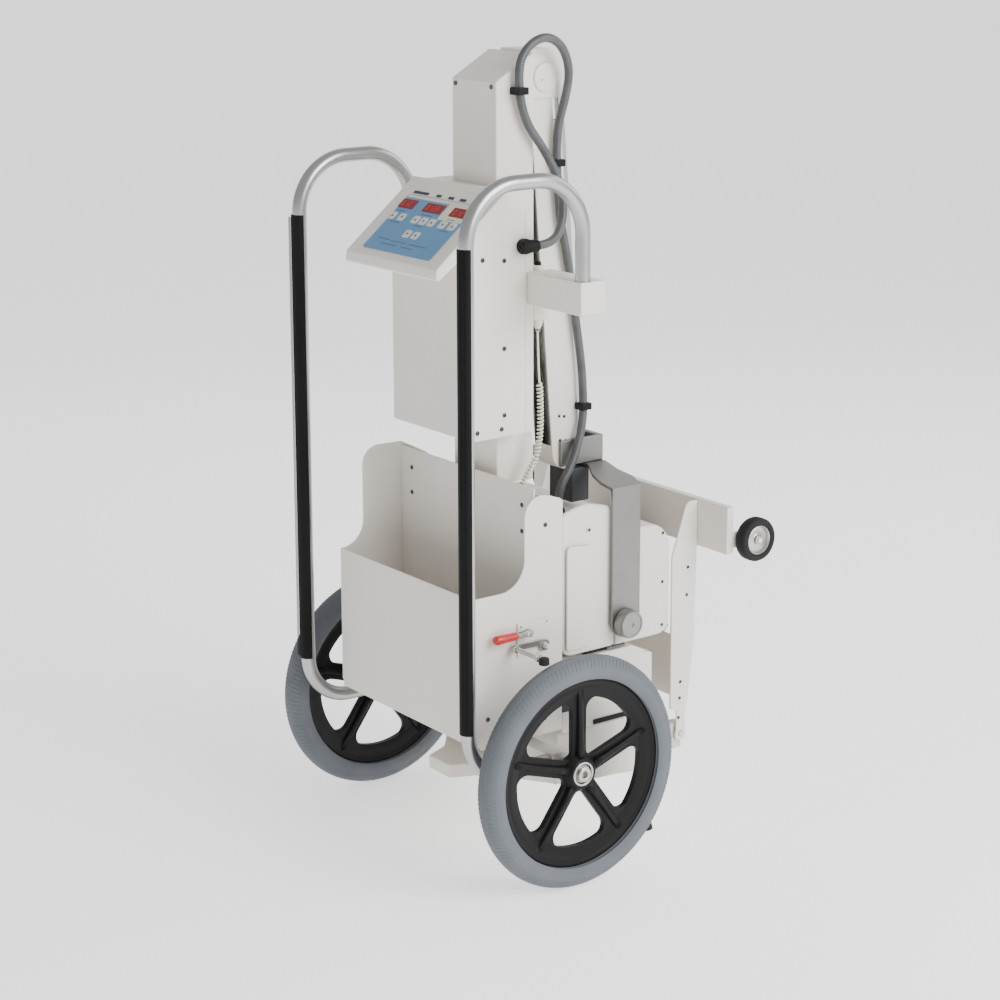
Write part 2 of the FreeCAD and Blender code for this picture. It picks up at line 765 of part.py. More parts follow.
def parallel_bar():
    bar = add("Part::Box", "bar_shaft")
    bar.Length, bar.Width, bar.Height = 12, 12, REACH
    lean = math.radians(LEAN)
    y = BAR_LOW[0] - 6 * math.cos(lean)
    z = BAR_LOW[1] - 6 * math.sin(lean)
    place(bar, -6, round(y, 4), round(z, 4), turn=((1, 0, 0), LEAN))
    eyes = [across("bar_eye_top", 6, BAR_TOP, 10), across("bar_eye_low", 6, BAR_LOW, 10)]
    bores = [across("bar_bore_top", 10, BAR_TOP, 4.3), across("bar_bore_low", 10, BAR_LOW, 4.3)]
    return cut("parallel_bar", fuse("bar_solid", bar, *eyes), *bores)


node(parallel_bar())

# ---------------------------------------------------------------- fork

def fork_hub():
    """Clevis under the arm's toe: two cheeks joined by the front block that the stem bar enters."""
    y, z = round(ELBOW[0], 4), round(ELBOW[1], 4)
    cheeks = []
    for side, x in (("right", (ARM_HALF + 0.5, ARM_HALF + 7)), ("left", (-ARM_HALF - 7, -ARM_HALF - 0.5))):
        cheeks.append(box(f"hub_cheek_{side}", x, (y - 18, y + 78), (z - 25, z + 22)))
    front = box("hub_front", (-ARM_HALF - 7, ARM_HALF + 7), (y + 66, y + 78), (z - 25, z + 22))
    pin = across("hub_pin", ARM_HALF + 7, ELBOW, 6)
    bar_pin = across("hub_bar_pin", ARM_HALF + 7, BAR_LOW, 4)
    neck = box("hub_neck", (-32, 32), (196, 236), (572, 633.6))
    return fuse("fork_hub", *cheeks, front, pin, bar_pin, neck)


def fork_bar():
    """Flat bar bent down both sides of the tube head, its bridge swept forward under the hub."""
    inner, thick = size("strap_inner"), size("strap_thickness")
    outer = inner + thick
    bridge_low, bridge_high = 634.0, 640.0
    strap = [(151, 403), (213, 403), (213, bridge_high), (151, bridge_high)]
    leg = plate("strap_leg", "side", strap, (inner, outer))
    toe = cylinder("strap_toe", "X", (inner, 182, 403), 31, thick)
    plan = [(outer, 151), (outer, 213), (150, 237), (100, 246), (40, 268), (-40, 268), (-100, 246),
            (-150, 237),
            (-outer, 213), (-outer, 151), (-150, 164), (-100, 187), (-40, 226), (40, 226), (100, 187),
            (150, 164)]
    bridge = plate("fork_bridge", "plan", plan, (bridge_low, bridge_high))
    return fuse("fork_bar", leg, toe, mirrored("strap_leg_left", leg), mirrored("strap_toe_left", toe),
                bridge)


node(fork_hub())
node(fork_bar())


def tilt_knob():
    start = ("dims.strap_inner + dims.strap_thickness + 0.4", "dims.tilt_y", "dims.tilt_z")
    return cylinder("tilt_knob_right", "X", start, "dims.knob_radius", 22)


knob = node(tilt_knob())
node(mirrored("tilt_knob_left", knob))

# ---------------------------------------------------------------- tube head

HEAD_ACROSS = ("-dims.head_half", "dims.head_half")


def head_cover_rear():
    """Rear shell: arched side cheeks round an open well where the hose enters."""
    points = [("dims.head_rear", "dims.head_bottom"), ("dims.head_split", "dims.head_bottom"),
              ("dims.head_split", 590), (153, 608), (101, "dims.head_crown"), ("dims.head_rear", 607)]
    body = plate("rear_cover_body", "side", points, HEAD_ACROSS, {0: 25.0, 5: 14.0, 4: 90.0})
    hollow = box("rear_cover_hollow", ("-dims.head_half + 4", "dims.head_half - 4"),
                 ("dims.head_rear + 5", "dims.head_split"), ("dims.head_bottom + 5", "dims.head_deck - 5"))
    well = box("rear_cover_well", ("-dims.head_half + 10", "dims.head_half - 10"),
               ("dims.head_rear + 7", 200), ("dims.head_deck", 700))
    boss = cylinder("head_boss", "X", ("dims.head_half", "dims.tilt_y", "dims.tilt_z"), 16, 5)
    return fuse("head_cover_rear", cut("rear_cover_shell", body, hollow, well), *pair(boss))


def head_cover_front():
    points = [("dims.head_split", "dims.head_bottom"), ("dims.head_front", "dims.head_bottom"),
              ("dims.head_front", 556), ("dims.head_split", "dims.head_deck + 2")]
    body = plate("front_cover_body", "side", points, HEAD_ACROSS, {1: 25.0, 2: 45.0})
    hollow = box("front_cover_hollow", ("-dims.head_half + 4", "dims.head_half - 4"),
                 ("dims.head_split", "dims.head_front - 5"), ("dims.head_bottom + 5", 520))
    return cut("head_cover_front", body, hollow)


node(head_cover_rear())
node(head_cover_front())
node(box("beam_limiter", (-90, 90), ("dims.head_front", "dims.head_front + 22"), (400, 520)))
node(cylinder("tube_insert", "X", (-140, 225, 450), 42, 280))
node(box("high_voltage_block", (-150, 150), (62, 165), (375, 540)))

# ---------------------------------------------------------------- folding front frame

def frame_leg():
    points = [(290, 215), (319, 204), (329, 217), (343, 336), (346.6, 500), (346.6, 588), (322, 588),
              (290, 494)]
    leg = plate("frame_leg_plate", "side", points,
                ("dims.leg_inner", "dims.leg_inner + dims.leg_thickness"), {6: 14.0})
    lug = box("frame_lug", ("dims.leg_inner", "dims.leg_inner + dims.leg_thickness"), (305, 325),
              (155, 212))
    eye = cylinder("frame_eye", "X", ("dims.leg_inner", "dims.fold_y", "dims.fold_z"), 12,
                   "dims.leg_thickness")
    bore = cylinder("frame_bore", "X", ("dims.leg_inner - 5", "dims.fold_y", "dims.fold_z"), 5.3, 20)
    return cut("frame_leg", fuse("frame_leg_solid", leg, lug, eye), bore)


def front_frame():
    """Two bent legs welded to a lower cross panel."""
    panel = box("frame_panel", ("-dims.leg_inner", "dims.leg_inner"), (325, 328), (222, 336))
    return fuse("front_frame", *pair(frame_leg()), panel)


def caster_arm():
    """Bracket from the board to a loading wheel, with the wheel's pin."""
    inboard = "dims.caster_x - dims.caster_width / 2 - 2"
    arm = box("caster_arm_block", ("dims.board_half - 8", inboard),
              ("dims.board_front", "dims.caster_y + 12"),
              ("dims.caster_z - 14", "dims.caster_z + 14"))
    pin = cylinder("caster_pin", "X", (inboard, "dims.caster_y", "dims.caster_z"), 5,
                   "dims.caster_width + 4")
    return fuse("caster_arm", arm, pin)


def cross_board():
    """Board across the frame with a bracket and pin for a loading wheel at each end."""
    board = box("board", ("-dims.board_half", "dims.board_half"), ("dims.board_rear", "dims.board_front"),
                ("dims.board_bottom", "dims.board_top"))
    return fuse("cross_board", board, *pair(caster_arm()))


node(front_frame())
node(cross_board())


def loading_wheel():
    start = ("dims.caster_x - dims.caster_width / 2", "dims.caster_y", "dims.caster_z")
    body = cylinder("loading_wheel_body", "X", start, "dims.caster_radius", "dims.caster_width")
    bore = cylinder("loading_wheel_bore", "X", start, 5.4, "dims.caster_width")
    return cut("loading_wheel_right", body, bore)


wheel = node(loading_wheel())
node(mirrored("loading_wheel_left", wheel))


def hinge_pins():
    """Pins and stand-off blocks on the base that carry the front frame."""
    pin = cylinder("hinge_pin", "X", (180, "dims.fold_y", "dims.fold_z"), 5, 17)
    block = box("hinge_block", (168, 188), (285, 322), (136, 184))
    return group("hinge_pins", *pair(fuse("hinge_stand", pin, block)))


node(hinge_pins())

# ---------------------------------------------------------------- brakes

def brake_base():
    """Plate on the bin's side with the two pivots of a toggle clamp."""
    plate_block = box("brake_plate", ("dims.bin_half", "dims.bin_half + 4"), (-50, 16), (383, 440))
    pins = [cylinder("lever_pin", "X", ("dims.bin_half", "dims.lever_y", "dims.lever_z"), 4, 20),
            cylinder("presser_pin", "X", ("dims.bin_half", "dims.presser_y", "dims.presser_z"), 4, 20)]
    return group("brake_bases", *pair(fuse("brake_base", plate_block, *pins)))


def brake_lever():
    x = ("dims.brake_plane + 2", "dims.brake_plane + 7")
    eye = cylinder("lever_eye", "X", (x[0], "dims.lever_y", "dims.lever_z"), 9, 5)
    shank = box("lever_shank", x, ("dims.lever_y - 22", "dims.lever_y"),
                ("dims.lever_z - 5", "dims.lever_z + 5"))
    bore = cylinder("lever_bore", "X", (200, "dims.lever_y", "dims.lever_z"), 4.3, 30)
    grip = cylinder("lever_grip", "Y", ("dims.brake_plane + 4.5", "dims.lever_y - 70", "dims.lever_z"), 8,
                    50)
    return cut("brake_lever_right", fuse("lever_solid", eye, shank, grip), bore)


def brake_presser():
    """Rocker with a stud that reaches over the tyre and ends in a rubber foot."""
    x = ("dims.bin_half + 5", "dims.brake_plane")
    eye = cylinder("presser_eye", "X", (x[0], "dims.presser_y", "dims.presser_z"), 9, 6)
    rocker = box("presser_rocker", x, (-66, "dims.presser_y"),
                 ("dims.presser_z + 2", "dims.presser_z + 12"))
    stud = cylinder("presser_stud", "X", ("dims.brake_plane", -61, "dims.presser_z + 7"), 4, 74)
    foot = cylinder("presser_foot", "Z", ("dims.track_half - 12", -61, "dims.presser_z"), 9, 12)
    bore = cylinder("presser_bore", "X", (190, "dims.presser_y", "dims.presser_z"), 4.3, 30)
    return cut("brake_presser_right", fuse("presser_solid", eye, rocker, stud, foot), bore)


node(brake_base())
for make in (brake_lever, brake_presser):
    right = node(make())
    node(mirrored(right.Label.replace("_right", "_left"), right))

# ---------------------------------------------------------------- hose, its clips and the coiled lead

# Route of the hose, span by span; each span starts where the one before ends.
HOSE = size("hose_radius")
HOSE_SPANS = {
    "hose_lower": [
        V(126, 46, 1056), V(126, 70, 1056), V(119, 98, 1070), V(106, 118, 1104), V(90, 124, 1148),
        V(78, 100, 1204), V(75, 54, 1262), V(75, 49, 1306),
    ],
    "hose_loop": [
        V(75, 49, 1306), V(75, 44.455, 1346), V(73, 68, 1380), V(70, 108, 1394), V(63, 148, 1376),
        V(56, 170, 1332),
        V(46, 167, 1282), V(36, 156, 1228), V(36, 158, 1176),
    ],
    "hose_arm": [
        V(36, 158, 1176), V(36, 161.077, 1096), V(36, 184, 1000), V(36, 202, 890), V(36, 217, 800),
        V(36, 218, 745),
    ],
    "hose_drop": [
        V(36, 218, 745), V(36, 218.491, 718), V(48, 188, 652), V(52, 150, 608), V(52, 150, 574),
    ],
}
ARM_CLIP_SPOTS = ((158, 1176), (218, 745))


def hose_fittings():
    """Gland on the electronics housing and the clip near the top of the column."""
    base = cylinder("gland_base", "X", ("dims.housing_half", 24, 1056), 13, 11)
    gland = fuse("hose_gland", base, cylinder("gland_nose", "Y", (126, 12, 1056), 10.5, 34))
    clip = box("column_clip", ("dims.column_half", 86), (38, 60), (1300, 1312))
    spans = [swept(f"clip_bore_{name}", HOSE_SPANS[name], HOSE) for name in ("hose_lower", "hose_loop")]
    return group("hose_fittings", gland, cut("column_clip_cut", clip, *spans))


def arm_clips():
    """Two clips on the right cheek of the arm that hold the hose."""
    clips = []
    for i, (y, z) in enumerate(ARM_CLIP_SPOTS):
        clips.append(box(f"arm_clip_{i}", ("dims.arm_half", 47), (y - 11, y + 11), (z - 6, z + 6)))
    spans = [swept(f"arm_bore_{name}", HOSE_SPANS[name], HOSE) for name in ("hose_loop", "hose_arm",
                                                                            "hose_drop")]
    return cut("arm_clips", fuse("arm_clip_blocks", *clips), *spans)


node(hose_fittings())
node(arm_clips())
for name, points in HOSE_SPANS.items():
    path, bends = rounded_wire(points)
    print(name, "bend radii", bends, "length", round(path.Length))
    node(swept(name, points, HOSE))
node(cylinder("hose_boot", "Z", (52, 150, "dims.head_deck"), 14, 14, cone=11))

COIL_ROUTE = [
    V(SWITCH_X, SWITCH_Y, SWITCH_LOW), V(98, 70, 852), V(96, 76, 796), V(95, 78, 740), V(95, 72, 692),
    V(94, 50, 658), V(93, 26, 622), V(92, 21, 570), V(92, 23, 516), V(92, 24, 466),
]
path, bends = rounded_wire(COIL_ROUTE)
print("coil_lead bend radii", bends, "length", round(path.Length))
node(swept("coil_lead", COIL_ROUTE, size("coil_radius")))

# ---------------------------------------------------------------- check and write

doc.recompute()
for obj in doc.Objects:
    assert not {"Invalid", "Error"} & set(obj.State), (obj.Label, obj.State)
for label, obj in NODES.items():
    shape = obj.Shape
    assert not shape.isNull() and shape.isValid() and shape.Volume > 1, label
    shape.exportStep(f"parts/{label}.step")
print(len(NODES), "sub-parts written")
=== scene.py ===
import json
import math

import bmesh
import bpy
from mathutils import Matrix, Vector

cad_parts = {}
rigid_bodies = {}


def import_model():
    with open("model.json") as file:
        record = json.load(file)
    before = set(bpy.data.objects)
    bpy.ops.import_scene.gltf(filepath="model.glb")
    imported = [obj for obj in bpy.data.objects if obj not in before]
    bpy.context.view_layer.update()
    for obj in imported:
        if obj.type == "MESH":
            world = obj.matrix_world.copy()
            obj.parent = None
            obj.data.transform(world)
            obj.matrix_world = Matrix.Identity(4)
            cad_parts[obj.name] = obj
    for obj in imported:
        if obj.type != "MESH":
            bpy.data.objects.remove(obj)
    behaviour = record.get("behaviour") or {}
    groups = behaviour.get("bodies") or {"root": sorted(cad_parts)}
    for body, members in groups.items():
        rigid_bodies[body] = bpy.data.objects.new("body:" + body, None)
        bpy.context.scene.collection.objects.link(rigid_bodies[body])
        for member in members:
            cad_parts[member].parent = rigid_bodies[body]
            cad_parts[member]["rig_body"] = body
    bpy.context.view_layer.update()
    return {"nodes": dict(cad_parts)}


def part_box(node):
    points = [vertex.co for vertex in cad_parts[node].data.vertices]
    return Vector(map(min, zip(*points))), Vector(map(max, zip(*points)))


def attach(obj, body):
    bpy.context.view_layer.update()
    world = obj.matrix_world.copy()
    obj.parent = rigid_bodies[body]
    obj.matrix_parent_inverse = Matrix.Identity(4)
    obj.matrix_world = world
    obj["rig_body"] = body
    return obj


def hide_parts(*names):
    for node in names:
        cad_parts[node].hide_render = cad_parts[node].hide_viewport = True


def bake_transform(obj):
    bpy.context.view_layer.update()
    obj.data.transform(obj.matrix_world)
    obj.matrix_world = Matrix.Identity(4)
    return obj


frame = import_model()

# Mobile X-ray trolley, parked. Metres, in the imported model's frame: X to the unit's right, Y from the bin
# towards the folding front frame, Z up. Places given to at() and profiles given to turned() are millimetres.

NODES = frame["nodes"]
MM = 0.001


def corners(node):
    """Lowest and highest corner of a CAD node, as vectors."""
    low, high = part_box(node)
    return Vector(low), Vector(high)


def middle(node):
    low, high = corners(node)
    return (low + high) / 2


AXLE = middle("axle")                       # the wheel axle gives the Y that the other places count from


def at(x, y, z):
    """A point in millimetres, with Y counted from the wheel axle."""
    return Vector((x * MM, AXLE.y + y * MM, z * MM))


# ---- materials

def new_material(name):
    material = bpy.data.materials.new(name)
    material.use_nodes = True
    return material, material.node_tree, material.node_tree.nodes["Principled BSDF"]


def noise(tree, scale, detail=4.0, roughness=0.55, stretch=None):
    """A noise texture in metres of the object's own space."""
    coords = tree.nodes.new("ShaderNodeTexCoord")
    texture = tree.nodes.new("ShaderNodeTexNoise")
    texture.inputs["Scale"].default_value = scale
    texture.inputs["Detail"].default_value = detail
    texture.inputs["Roughness"].default_value = roughness
    if stretch:
        mapping = tree.nodes.new("ShaderNodeMapping")
        mapping.inputs["Scale"].default_value = stretch
        tree.links.new(coords.outputs["Object"], mapping.inputs["Vector"])
        tree.links.new(mapping.outputs["Vector"], texture.inputs["Vector"])
    else:
        tree.links.new(coords.outputs["Object"], texture.inputs["Vector"])
    return texture.outputs["Fac"]


def ramp(tree, source, low, high, start=0.3, end=0.7):
    """Maps a value to colours between low and high."""
    node = tree.nodes.new("ShaderNodeValToRGB")
    node.color_ramp.elements[0].position = start
    node.color_ramp.elements[0].color = (*low, 1)
    node.color_ramp.elements[1].position = end
    node.color_ramp.elements[1].color = (*high, 1)
    tree.links.new(source, node.inputs["Fac"])
    return node.outputs["Color"]


def spread(tree, source, low, high):
    """Maps a value to a number between low and high."""
    node = tree.nodes.new("ShaderNodeMapRange")
    node.inputs["To Min"].default_value = low
    node.inputs["To Max"].default_value = high
    tree.links.new(source, node.inputs["Value"])
    return node.outputs["Result"]


def bump(tree, shader, height, strength, distance):
    node = tree.nodes.new("ShaderNodeBump")
    node.inputs["Strength"].default_value = strength
    node.inputs["Distance"].default_value = distance
    tree.links.new(height, node.inputs["Height"])
    tree.links.new(node.outputs["Normal"], shader.inputs["Normal"])


def shade(colour, factor):
    return tuple(min(1.0, c * factor) for c in colour)


def surface(name, colour, rough, metallic=0.0, vary=0.06, patch=7.0, grain=900.0, grain_depth=0.00012,
            grain_strength=0.3, coat=0.0, stretch=None, specular=0.5):
    """A finish with slow colour patches, a grain in its bump and a matching change of gloss."""
    material, tree, shader = new_material(name)
    patches = noise(tree, patch, detail=6.0)
    tree.links.new(ramp(tree, patches, shade(colour, 1 - vary), shade(colour, 1 + vary)),
            shader.inputs["Base Color"])
    fine = noise(tree, grain, detail=3.0, stretch=stretch)
    tree.links.new(spread(tree, noise(tree, patch * 5, detail=5.0), rough - 0.06, rough + 0.08),
            shader.inputs["Roughness"])
    bump(tree, shader, fine, grain_strength, grain_depth)
    shader.inputs["Metallic"].default_value = metallic
    shader.inputs["Coat Weight"].default_value = coat
    shader.inputs["Coat Roughness"].default_value = 0.25
    shader.inputs["Specular IOR Level"].default_value = specular
    return material


CREAM = (0.745, 0.705, 0.645)
PAINT = surface("cream_powder_coat", CREAM, 0.46, vary=0.02, grain=1400, grain_depth=0.00009)
# darker copy of the cream paint: painted shade on the axle beam, mast post and hinge pins, and the dark line
# of the housing's cover seams
CREAM_SHADE_AND_SEAM = surface("cream_painted_shade_and_seam", shade(CREAM, 0.80), 0.50, vary=0.03, grain=1400)
TUBE_STEEL = surface("satin_tube_steel", (0.40, 0.40, 0.405), 0.30, metallic=1.0, vary=0.05, patch=20,
                     grain=260, grain_depth=0.00003, stretch=(6, 6, 0.6))
STRAP_STEEL = surface("brushed_strap", (0.215, 0.212, 0.205), 0.42, metallic=0.85, vary=0.05, patch=12,
                      grain=420, grain_depth=0.00004, stretch=(1, 8, 0.5))
TURNED = surface("turned_alloy", (0.26, 0.26, 0.255), 0.40, metallic=0.9, vary=0.05, patch=30, grain=900,
                 grain_depth=0.00004)
DARK_STEEL = surface("dark_bracket_paint", (0.040, 0.043, 0.048), 0.5, specular=0.3, vary=0.12, grain=800)
ZINC = surface("zinc_plate", (0.48, 0.47, 0.44), 0.34, metallic=1.0, vary=0.12, patch=60, grain=500,
               grain_depth=0.00005)
SCREW_STEEL = surface("blackened_screw_steel", (0.085, 0.080, 0.074), 0.42, metallic=0.75, vary=0.12,
                      patch=60,
                      grain=500, grain_depth=0.00005)
BLACK = surface("black_moulding", (0.0055, 0.0055, 0.006), 0.44, specular=0.15, vary=0.2, grain=1500,
                grain_depth=0.0001)
STRIP = surface("black_grip_vinyl", (0.006, 0.006, 0.0065), 0.55, specular=0.11, vary=0.2, grain=1100,
                grain_depth=0.0002)
TYRE = surface("grey_tyre_rubber", (0.118, 0.130, 0.146), 0.66, specular=0.3, vary=0.10, patch=14,
               grain=700,
               grain_depth=0.00022, grain_strength=0.45)
RUBBER = surface("black_rubber", (0.010, 0.010, 0.010), 0.7, specular=0.25, vary=0.25, patch=30, grain=600,
                 grain_depth=0.0002)
CREAM_PLASTIC = surface("cream_moulding", (0.72, 0.675, 0.585), 0.36, vary=0.03, grain=900, coat=0.15)
RED = surface("red_dipped_vinyl", (0.46, 0.006, 0.008), 0.33, vary=0.12, patch=40, grain=900, coat=0.3)
BLUE = surface("blue_membrane", (0.085, 0.245, 0.44), 0.38, vary=0.04, patch=9, grain=2200,
               grain_depth=0.00004)
PALE_PRINT = surface("pale_print", (0.62, 0.66, 0.68), 0.4, vary=0.04, grain=2200, grain_depth=0.00003)
BEIGE_PRINT = surface("beige_print", (0.66, 0.61, 0.50), 0.4, vary=0.04, grain=2200, grain_depth=0.00003)
NAVY_PRINT = surface("navy_print", (0.03, 0.07, 0.16), 0.4, vary=0.1, grain=2200, grain_depth=0.00003)
DISPLAY = surface("display_window", (0.21, 0.006, 0.007), 0.22, vary=0.15, patch=30, grain=300,
                  grain_depth=0.00001, specular=0.2, coat=0.15)
SEGMENT = surface("display_segment", (0.75, 0.03, 0.02), 0.3, vary=0.1, grain=300, grain_depth=0.00001)
LENS = surface("limiter_window", (0.10, 0.13, 0.13), 0.06, vary=0.1, patch=30, grain=200,
               grain_depth=0.00001, coat=0.8)


def hose_material():
    """Grey sleeve over a spiral: fine rings in the bump and a change of gloss."""
    material, tree, shader = new_material("grey_spiral_sleeve")
    tree.links.new(ramp(tree, noise(tree, 25), (0.048, 0.051, 0.054), (0.075, 0.079, 0.083)),
            shader.inputs["Base Color"])
    tree.links.new(spread(tree, noise(tree, 120), 0.32, 0.5), shader.inputs["Roughness"])
    bump(tree, shader, noise(tree, 500), 0.25, 0.0001)
    return material


HOSE = hose_material()

# ---- mesh helpers


def finish_piece(obj, body, material, slot, replaces=()):
    """Every piece gets its finish and rides on its body; slot is not used."""
    obj.data.materials.clear()
    obj.data.materials.append(material)
    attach(obj, body)
    if replaces:
        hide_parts(*replaces)
    return obj


def added(name, data):
    obj = bpy.data.objects.new(name, data)
    bpy.context.scene.collection.objects.link(obj)
    return obj


def object_from(bm, name, smooth=True):
    mesh = bpy.data.meshes.new(name)
    bm.to_mesh(mesh)
    bm.free()
    if smooth:
        mesh.shade_smooth()
    return added(name, mesh)


def split_edges(obj, degrees):
    """Keeps edges sharper than the angle crisp under smooth shading."""
    obj.modifiers.new("split", "EDGE_SPLIT").split_angle = math.radians(degrees)
    return obj


def skin(bm, rows, ring=False):
    """Faces between neighbouring rows of points; ring also joins the end of each row to its start."""
    for a, b in zip(rows, rows[1:]):
        for i in range(len(a) if ring else len(a) - 1):
            j = (i + 1) % len(a)
            bm.faces.new((a[i], a[j], b[j], b[i]))


EDGE_ANGLE = 28                             # degrees; flatter edges stay as they are


def soften(obj, width, segments):
    """Rounded edges and clean shading on a hard-surface piece."""
    bevel = obj.modifiers.new("edges", "BEVEL")
    bevel.width = width
    bevel.segments = segments
    bevel.limit_method = "ANGLE"
    bevel.angle_limit = math.radians(EDGE_ANGLE)
    bevel.use_clamp_overlap = False
    bevel.harden_normals = True
    normals = obj.modifiers.new("normals", "WEIGHTED_NORMAL")
    normals.keep_sharp = True
    normals.weight = 80


def rounded_copy(node, width, material, slot):
    """The CAD shape with its facets merged and its edges rounded."""
    source = NODES[node]
    bm = bmesh.new()
    bm.from_mesh(source.data)
    bmesh.ops.remove_doubles(bm, verts=bm.verts, dist=1e-6)
    bmesh.ops.dissolve_limit(bm, angle_limit=math.radians(0.6), verts=bm.verts, edges=bm.edges)
    obj = object_from(bm, node + "_skin")
    soften(obj, width, 3)
    return finish_piece(obj, source["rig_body"], material, slot, (node,))


def block(name, low, high, width, material, slot, body):
    """A trim block between two corners, with rounded edges."""
    bm = bmesh.new()
    bmesh.ops.create_cube(bm, size=1.0)
    low, high = Vector(low), Vector(high)
    size = high - low
    centre = (low + high) / 2
    bmesh.ops.transform(bm, matrix=Matrix.Translation(centre) @ Matrix.Diagonal((*size, 1)), verts=bm.verts)
    obj = object_from(bm, name)
    soften(obj, width, 2)
    finish_piece(obj, body, material, slot)


def lathe(name, profile, origin, axis, steps=64, closed=False, split=35):
    """Turns (distance along the axis, radius) points in metres about the axis; a closed profile is a ring."""
    bm = bmesh.new()
    rings = []
    for along, radius in profile:
        ring = []
        for i in range(steps):
            angle = math.tau * i / steps
            ring.append(bm.verts.new((radius * math.cos(angle), radius * math.sin(angle), along)))
        rings.append(ring)
    if not closed:
        for ring in (rings[0], rings[-1]):
            bm.faces.new(ring)
    skin(bm, rings + rings[:1] if closed else rings, ring=True)
    bmesh.ops.recalc_face_normals(bm, faces=bm.faces)
    turn = Vector((0, 0, 1)).rotation_difference(Vector(axis)).to_matrix().to_4x4()
    bmesh.ops.transform(bm, matrix=Matrix.Translation(origin) @ turn, verts=bm.verts)
    return split_edges(object_from(bm, name), split)


def turned(name, profile, *rest, **options):
    """A lathe piece whose profile is in millimetres."""
    return lathe(name, [(along * MM, radius * MM) for along, radius in profile], *rest, **options)


def rounded_outline(shape, steps=7):
    """Points round a polygon given as (x, y, corner radius), each corner turned into an arc."""
    result = []
    for i, (x, y, radius) in enumerate(shape):
        here = Vector((x, y))
        if radius <= 0:
            result.append(here)
            continue
        back = (Vector(shape[i - 1][:2]) - here).normalized()
        on = (Vector(shape[(i + 1) % len(shape)][:2]) - here).normalized()
        half = math.acos(max(-1, min(1, back.dot(on)))) / 2
        reach = radius / math.tan(half)
        centre = here + (back + on).normalized() * radius / math.sin(half)
        first, last = here + back * reach - centre, here + on * reach - centre
        turn = math.atan2(first.x * last.y - first.y * last.x, first.dot(last))
        for k in range(steps + 1):
            angle = turn * k / steps
            result.append(centre + Vector((first.x * math.cos(angle) - first.y * math.sin(angle),
                    first.x * math.sin(angle) + first.y * math.cos(angle))))
    return result


def outline_mm(shape):
    return rounded_outline([(x * MM, y * MM, radius * MM) for x, y, radius in shape])


def rectangle(half_x, half_y, radius=0):
    """Corners for rounded_outline, counterclockwise from the lower left."""
    return [(sx * half_x, sy * half_y, radius) for sx, sy in ((-1, -1), (1, -1), (1, 1), (-1, 1))]


def slab(name, outlines, place, thick, edge=0.0):
    """A flat plate from closed outlines (holes inside the first), extruded with soft edges; place is a matrix
    whose local Z is the plate's normal, and the plate is centred on it."""
    curve = bpy.data.curves.new(name, "CURVE")
    curve.dimensions = "2D"
    curve.fill_mode = "BOTH"
    curve.extrude = thick / 2 - edge
    curve.bevel_depth = edge
    curve.bevel_resolution = 2
    curve.offset = -edge
    for points in outlines:
        spline = curve.splines.new("POLY")
        spline.points.add(len(points) - 1)
        for point, (x, y) in zip(spline.points, points):
            point.co = (x, y, 0, 1)
        spline.use_cyclic_u = True
    holder = added(name, curve)
    mesh = bpy.data.meshes.new_from_object(holder)
    bpy.data.objects.remove(holder)
    mesh.transform(place)
    if place.determinant() < 0:
        mesh.flip_normals()
    mesh.shade_smooth()
    return split_edges(added(name, mesh), 38)


def frame_at(origin, x_axis, y_axis):
    """A matrix with the given local X and Y directions."""
    x_axis, y_axis = Vector(x_axis), Vector(y_axis)
    z_axis = x_axis.cross(y_axis)
    return Matrix.Translation(origin) @ Matrix((x_axis, y_axis, z_axis)).transposed().to_4x4()


def circle(radius, steps=48):
    return [Vector((radius * math.cos(math.tau * i / steps), radius * math.sin(math.tau * i / steps)))
            for i in range(steps)]


def joined(name, pieces):
    """One object from several, with their modifiers applied."""
    bm = bmesh.new()
    graph = bpy.context.evaluated_depsgraph_get()
    for piece in pieces:
        mesh = bpy.data.meshes.new_from_object(piece.evaluated_get(graph))
        bm.from_mesh(mesh)
        bpy.data.meshes.remove(mesh)
        bpy.data.objects.remove(piece)
    return object_from(bm, name, smooth=False)


def finish_joined(name, pieces, body, material, slot, replaces=()):
    return finish_piece(joined(name, pieces), body, material, slot, replaces)


def on_side(place):
    """A plate's matrix on a side of the unit: local X forwards, local Y up."""
    return frame_at(place, (0, 1, 0), (0, 0, 1))


def mirrored_sides(build):
    """Calls build(side name, sign) for the right and the left of the unit."""
    for side, sign in (("right", 1), ("left", -1)):
        build(side, sign)


def smooth_curve(name, points, radius, resolution=8, bevel=6):
    """A tube along one NURBS spline whose control points are the route's points."""
    curve = bpy.data.curves.new(name, "CURVE")
    curve.dimensions = "3D"
    spline = curve.splines.new("NURBS")
    spline.points.add(len(points) - 1)
    for point, place in zip(spline.points, points):
        point.co = (*place, 1)
    spline.order_u = 3
    spline.use_endpoint_u = True
    spline.resolution_u = resolution
    curve.bevel_depth = radius
    curve.bevel_resolution = bevel
    curve.use_fill_caps = True
    return added(name, curve)


def centreline(points, resolution=12):
    """Points read from the route's own NURBS spline."""
    probe = smooth_curve("probe", points, 0.0, resolution)
    probe.data.use_fill_caps = False
    mesh = bpy.data.meshes.new_from_object(probe)
    line = [v.co.copy() for v in mesh.vertices]
    bpy.data.objects.remove(probe)
    bpy.data.meshes.remove(mesh)
    return line


def distances(line):
    """How far along the line each of its points is."""
    lengths = [0.0]
    for a, b in zip(line, line[1:]):
        lengths.append(lengths[-1] + (b - a).length)
    return lengths


